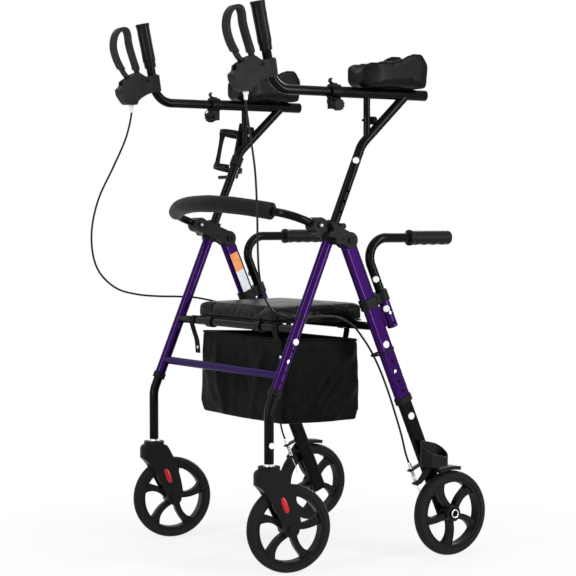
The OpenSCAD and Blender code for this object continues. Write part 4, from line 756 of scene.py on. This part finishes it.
for side, k in SIDES:
    out = Vector((k, 0, 0))
    slant = Vector((0.8 * k, -0.6, 0))
    side_x = Vector((k * TRACK, 0, 0))
    front = side_x + FRONT_FOOT
    rear = side_x + REAR_AXLE
    cap_disc(f"cap_front_tube_{side}", front + FRONT_UP * 0.1149 + out * 0.0128, out, 0.015, "front_frame")
    cap_disc(f"cap_front_leg_{side}", side_x + Vector((0, STEM_Y, 0.2885)) + out * 0.0112, out, 0.014,
             f"front_leg_{side}")
    cap_disc(f"cap_rear_tube_{side}", rear + REAR_UP * 0.4388 + out * 0.0101, out, 0.017, "rear_frame")
    cap_disc(f"cap_rear_leg_{side}", rear + REAR_UP * 0.2537 + out * 0.0084, out, 0.017, f"rear_leg_{side}")
    behind = rear + REAR_BACK * 0.040
    cap_disc(f"cap_rear_handle_{side}", behind + REAR_UP * 0.5861 + slant * 0.0112, slant, 0.015, f"rear_handle_{side}")
    cap_disc(f"cap_socket_{side}", behind + REAR_UP * 0.5119 + slant * 0.0128, slant, 0.016, "rear_frame")
    cap_disc(f"cap_upright_{side}", front + FRONT_UP * 0.5575 + slant * 0.0112, slant, 0.015, f"upright_{side}")
    bolt = side_x + Vector((0, -0.1416, 0.7783))
    for face_name, face in FACES:
        cap_disc(f"cap_bracket_{side}_{face_name}", bolt + out * face * 0.0226, out * face, 0.0062, "front_frame")

    # barrel adjuster under the brake housing
    profile = [(-0.002, 0.0032), (0, 0.0058), (0.0015, 0.0062), (0.005, 0.0062), (0.0062, 0.0052), (0.0075, 0.0046),
               (0.016, 0.0042), (0.0185, 0.0034), (0.019, 0.0026)]
    barrel = lathe(f"adjuster_{side}", profile, (k * TRACK, -0.326, 1.0718), (0, 0.02, -1), 28,
                   lambda along, a, r: r + (0.0003 * math.cos(12 * a) if 0.0012 < along < 0.0055 else 0))
    dress(barrel, f"handle_{side}", white_cap)

    # upturned tab on top of the arm clamp, and two thin wire rings on its screw
    bends = ((-0.088, 1.0978), (-0.098, 1.0984), (-0.1035, 1.1010), (-0.1050, 1.1060), (-0.1020, 1.1100))
    line = smooth_line([side_x + Vector((0, y, z)) for y, z in bends], 4)
    dress(webbing(f"clamp_tab_{side}", line, ACROSS, 0.011, 0.0026), f"upright_{side}", MATERIALS["black_moulding"])
    for n, (dx, lean) in enumerate(((-0.0045, 0.25), (-0.0075, -0.30))):
        ring = []
        for q in range(32):
            a = 2 * math.pi * q / 32
            ring.append(side_x + Vector((k * 0.0125 + k * dx + 0.0085 * math.sin(a) * lean,
                                         -0.1075 + 0.0085 * math.cos(a), 1.0560 + 0.0095 * math.sin(a))))
        dress(tube(f"clamp_wire_ring_{side}_{n + 1}", ring, 0.0009, 8, closed=True), f"upright_{side}",
              MATERIALS["black_paint"])

    # screws on both cheeks of the brake housing
    profile = [(-0.0008, 0.0046), (0.0006, 0.0046), (0.0012, 0.0040), (0.0012, 0.0022), (0.0002, 0.0020),
               (0.0002, 0.0001)]
    for face_name, face in FACES:
        screw = lathe(f"housing_screw_{side}_{face_name}", profile,
                      side_x + Vector((0, -0.291, 1.132)) + out * face * 0.015, out * face, 24)
        dress(screw, f"handle_{side}", MATERIALS["black_paint"])

    # chrome nut and washer on the caster stem
    profile = [(0, 0.0100), (0.0002, 0.0132), (0.0012, 0.0134), (0.0014, 0.0116), (0.0048, 0.0112), (0.0055, 0.0100)]
    nut = lathe(f"stem_nut_{side}", profile, (k * TRACK, STEM_Y, 0.2421), (0, 0, 1), 36,
                lambda along, a, r: r - (0.0006 * (1 - abs(math.cos(3 * a))) if along > 0.0013 else 0))
    dress(nut, f"caster_{side}", MATERIALS["bright_steel"])

    # red oval inlays on both faces of the fork
    turn = Matrix.Rotation(CASTER_TURN, 4, "Z")
    lean = math.radians(20)
    domed = ((1.04, -0.0004), (1.0, 0.0005), (0.93, 0.0012), (0.6, 0.0017), (0.02, 0.0019))
    for face_name, face in FACES:
        verts = []
        for share, lift in domed:
            for n in range(40):
                a = 2 * math.pi * n / 40
                u = 0.0066 * share * math.copysign(abs(math.cos(a)) ** 0.8, math.cos(a))
                v = 0.0185 * share * math.copysign(abs(math.sin(a)) ** 0.8, math.sin(a))
                y = 0.030 + u * math.cos(lean) - v * math.sin(lean)
                z = 0.156 + u * math.sin(lean) + v * math.cos(lean)
                verts.append(Vector((k * TRACK, STEM_Y, 0)) + turn @ Vector((face * (0.0223 + lift), y, z)))
        inlay = mesh_piece(f"fork_inlay_{side}_{face_name}", verts, ring_faces(len(domed), 40))
        dress(inlay, f"caster_{side}", red_inlay)

    # bright ring on the rear axle cap
    low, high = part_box(f"rear_leg_{side}")
    face_x = high.x if k > 0 else low.x
    profile = [(-0.0008, 0.0075), (-0.0008, 0.0103), (0.0006, 0.0103), (0.0012, 0.0098), (0.0012, 0.0081),
               (0.0006, 0.0075)]
    ring = lathe(f"axle_ring_{side}", profile, (face_x, REAR_AXLE.y, REAR_AXLE.z), out, 40, hollow=True)
    dress(ring, f"rear_leg_{side}", MATERIALS["bright_steel"])

    # chrome ferrule on the spring anchor, and the inner wire with its free tail
    anchor = Vector((k * TRACK, 0.12349, 0.20751))
    cable_end = (Vector(CABLES[side][-2]) - Vector(CABLES[side][-1])).normalized()
    profile = [(-0.001, 0.0030), (0, 0.0050), (0.004, 0.0052), (0.005, 0.0044), (0.013, 0.0042), (0.016, 0.0036),
               (0.0165, 0.0027)]
    ferrule = lathe(f"cable_ferrule_{side}", profile, anchor, cable_end, 28)
    dress(ferrule, f"rear_leg_{side}", MATERIALS["bright_steel"])
    tab = rear + REAR_BACK * -0.044 + REAR_UP * 0.097
    profile = [(0.001, 0.0001), (0.001, 0.0040), (0.0015, 0.0044), (0.006, 0.0044), (0.0065, 0.0036), (0.019, 0.0036),
               (0.0195, 0.0030), (0.0195, 0.0001)]
    barrel = lathe(f"brake_barrel_{side}", profile, anchor, tab - anchor, 28)
    dress(barrel, f"rear_leg_{side}", MATERIALS["bright_steel"])
    # coil between the anchor and the arm's tab, built as one fixed shape at rest, though the real coil closes up as the
    # arm is pulled
    low_s, high_s, coil_r, reach, turns, per_turn = 0.10285, 0.13115, 0.0044, 0.044, 8, 20
    coil = []
    for i in range(turns * per_turn + 1):
        a = 2 * math.pi * i / per_turn
        along = low_s + (high_s - low_s) * i / (turns * per_turn)
        coil.append(rear + REAR_UP * along + REAR_BACK * (coil_r * math.sin(a) - reach) + out * coil_r * math.cos(a))
    spring = tube(f"brake_coil_{side}", coil, 0.00075, 8)
    dress(spring, None, MATERIALS["bright_steel"])
    middle = rear - REAR_BACK * reach
    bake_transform(spring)
    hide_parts(f"brake_spring_{side}")
    tail = smooth_line([tab, tab - REAR_UP * 0.012, tab - REAR_UP * 0.026 + Vector((0, 0.001, 0)),
                        tab - REAR_UP * 0.034 + Vector((0, 0.003, -0.010))], 5)
    wire = tube(f"brake_wire_tail_{side}", tail, 0.0009, 8)
    dress(wire, f"brake_arm_{side}", MATERIALS["bright_steel"])

# moulded ridges along the edges of the spokes and round the rim, on both faces of each wheel
HUB_R, BAND_R, SPOKE_FACE, BAND_FACE = 0.0190, 0.0752, 0.0085, 0.0125
RIDGE_R, RIDGE_SIDES, SPOKES = 0.0013, 8, 5
for side, _ in SIDES:
    for end, clock, flip, turn in (("front", 34, 1, Matrix.Rotation(CASTER_TURN, 4, "Z")), ("rear", 10, -1, Matrix())):
        low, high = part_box(f"{end}_rim_{side}")
        hub = (low + high) / 2
        verts, faces = [], []
        for face in (1, -1):
            ring = [hub + turn @ Vector((face * BAND_FACE, BAND_R * math.cos(a), BAND_R * math.sin(a)))
                    for a in (2 * math.pi * n / 72 for n in range(72))]
            faces += ring_faces(len(ring), RIDGE_SIDES, closed=True, first=len(verts))
            verts += tube_verts(ring, RIDGE_R, RIDGE_SIDES, closed=True)
            for spoke in range(SPOKES):
                a = math.radians(clock + 360 / SPOKES * spoke)
                for way in (1, -1):
                    line = []
                    for i in range(11):
                        f = i / 10
                        r = HUB_R + f * (BAND_R - HUB_R)
                        off = way * (0.0057 + 0.007 * f ** 5) - 0.026 * f * (1 - f)
                        u, v = r * math.cos(a) - off * math.sin(a), r * math.sin(a) + off * math.cos(a)
                        line.append(hub + turn @ Vector((face * SPOKE_FACE, flip * v, -u)))
                    faces += ring_faces(len(line), RIDGE_SIDES, first=len(verts))
                    verts += tube_verts(line, RIDGE_R, RIDGE_SIDES)
        ridges = mesh_piece(f"{end}_rim_ridges_{side}", verts, faces)
        dress(ridges, f"{end}_wheel_{side}", MATERIALS["rim_plastic"])

# tie that holds the left cable to the left front tube, and the clips on both rear tubes
across_front = FRONT_UP.cross(Vector((1, 0, 0))).normalized()
tie = belt("cable_tie", [(0, 0, 0.0129), (-0.0352, 0, 0.0027)], Vector((TRACK, 0, 0)) + FRONT_FOOT + FRONT_UP * 0.172,
           Vector((1, 0, 0)), across_front, FRONT_UP, 0.0042, 0.0012)
dress(tie, "front_frame", MATERIALS["cable_jacket"])
for side, k in SIDES:
    place = Vector((k * TRACK, 0, 0)) + REAR_AXLE + REAR_UP * 0.4213
    held = Vector((k * 0.254, 0.022, 0.488)) - place
    clip = belt(f"cable_clip_{side}", [(0, 0.010, 0.0102), (0, -0.010, 0.0102), (held.x, held.dot(REAR_BACK), 0.0028)],
                place, Vector((1, 0, 0)), REAR_BACK, REAR_UP, 0.0052, 0.0013)
    dress(clip, "rear_frame", MATERIALS["black_moulding"])

# plain orange and pale strips wrapped on the inner face of the right rear tube
ROWS, COLUMNS, STRIP_W, FLAT_HALF, STRIP_R = 13, 25, 0.0236, 0.010, 0.0103
for name, material, start, end in (("strip_orange", orange_tape, 0.612, 0.660),
                                   ("strip_pale", pale_tape, 0.556, 0.612)):
    verts = []
    for i in range(ROWS):
        s = start + (end - start) * i / (ROWS - 1)
        for n in range(COLUMNS):
            v = STRIP_W * (n / (COLUMNS - 1) - 0.5)
            over = max(abs(v) - FLAT_HALF, 0)
            x = math.sqrt(STRIP_R ** 2 - over ** 2)
            verts.append(Vector((-TRACK + x, 0, 0)) + REAR_AXLE + REAR_BACK * v + REAR_UP * s)
    faces = []
    for i in range(ROWS - 1):
        for n in range(COLUMNS - 1):
            first = i * COLUMNS + n
            faces.append((first, first + 1, first + COLUMNS + 1, first + COLUMNS))
    dress(mesh_piece(name, verts, faces), "rear_frame", material)


# Floor, light and background

def seen_rays(tree):
    """Socket that is 1 for rays from the camera and through glossy or clear surfaces, and 0 for light on the object."""
    path = tree.nodes.new("ShaderNodeLightPath")
    seen = path.outputs["Is Camera Ray"]
    for more in ("Is Glossy Ray", "Is Transmission Ray"):
        add = tree.nodes.new("ShaderNodeMath")
        add.operation = "MAXIMUM"
        tree.links.new(seen, add.inputs[0])
        tree.links.new(path.outputs[more], add.inputs[1])
        seen = add.outputs["Value"]
    return seen


def backdrop_material():
    """Pale floor that keeps the shadow near the object and runs out to plain white."""
    mat = bpy.data.materials.new("floor")
    mat.use_nodes = True
    tree = mat.node_tree
    link = tree.links.new
    tree.nodes.clear()
    out = tree.nodes.new("ShaderNodeOutputMaterial")
    diffuse = tree.nodes.new("ShaderNodeBsdfDiffuse")
    diffuse.inputs["Color"].default_value = (0.93, 0.93, 0.93, 1)
    white = tree.nodes.new("ShaderNodeEmission")
    white.inputs["Strength"].default_value = 1.0
    place = tree.nodes.new("ShaderNodeTexCoord")
    size = tree.nodes.new("ShaderNodeVectorMath")
    size.operation = "LENGTH"
    link(place.outputs["Object"], size.inputs[0])
    fade = tree.nodes.new("ShaderNodeMapRange")
    fade.inputs["From Min"].default_value = 0.25
    fade.inputs["From Max"].default_value = 0.95
    fade.inputs["To Min"].default_value = 0.78
    link(size.outputs["Value"], fade.inputs["Value"])
    both = tree.nodes.new("ShaderNodeMath")
    both.operation = "MULTIPLY"
    link(seen_rays(tree), both.inputs[0])
    link(fade.outputs["Result"], both.inputs[1])
    mix = tree.nodes.new("ShaderNodeMixShader")
    link(both.outputs["Value"], mix.inputs["Fac"])
    link(diffuse.outputs["BSDF"], mix.inputs[1])
    link(white.outputs["Emission"], mix.inputs[2])
    link(mix.outputs["Shader"], out.inputs["Surface"])
    return mat


FLOOR_HALF = 20
floor = mesh_piece("floor", [(x * FLOOR_HALF, y * FLOOR_HALF, 0) for x, y in ((-1, -1), (1, -1), (1, 1), (-1, 1))],
                   [(0, 1, 2, 3)], smooth=False)
floor.data.materials.append(backdrop_material())

world = bpy.data.worlds.new("world")
scene.world = world
world.use_nodes = True
tree = world.node_tree
tree.nodes.clear()
out = tree.nodes.new("ShaderNodeOutputWorld")
lit, seen_white = (tree.nodes.new("ShaderNodeBackground") for _ in range(2))
mix = tree.nodes.new("ShaderNodeMixShader")
for node, strength in ((lit, 0.22), (seen_white, 1.0)):
    node.inputs["Color"].default_value = (1, 1, 1, 1)
    node.inputs["Strength"].default_value = strength
tree.links.new(seen_rays(tree), mix.inputs["Fac"])
tree.links.new(lit.outputs["Background"], mix.inputs[1])
tree.links.new(seen_white.outputs["Background"], mix.inputs[2])
tree.links.new(mix.outputs["Shader"], out.inputs["Surface"])


def softbox(name, place, target, width, height, power):
    """Rectangular lamp at place, turned to target; power is in watts."""
    lamp = bpy.data.objects.new(name, bpy.data.lights.new(name, "AREA"))
    lamp.data.shape = "RECTANGLE"
    lamp.data.size, lamp.data.size_y = width, height
    lamp.data.energy = power
    lamp.location = place
    lamp.rotation_mode = "QUATERNION"
    lamp.rotation_quaternion = (Vector(target) - Vector(place)).to_track_quat("-Z", "Y")
    scene.collection.objects.link(lamp)


softbox("key", (3.26, 1.38, 1.6), (0, 0, 1.4), 0.70, 3.2, 115)
softbox("front", (0.76, -3.31, 1.7), (0, 0, 1.4), 0.45, 3.2, 68)
softbox("rear", (-2.2, 2.6, 1.7), (0, 0, 1.2), 0.50, 3.0, 45)
softbox("top", (0, -0.2, 3.4), (0, 0, 0.5), 0.5, 2.6, 24)
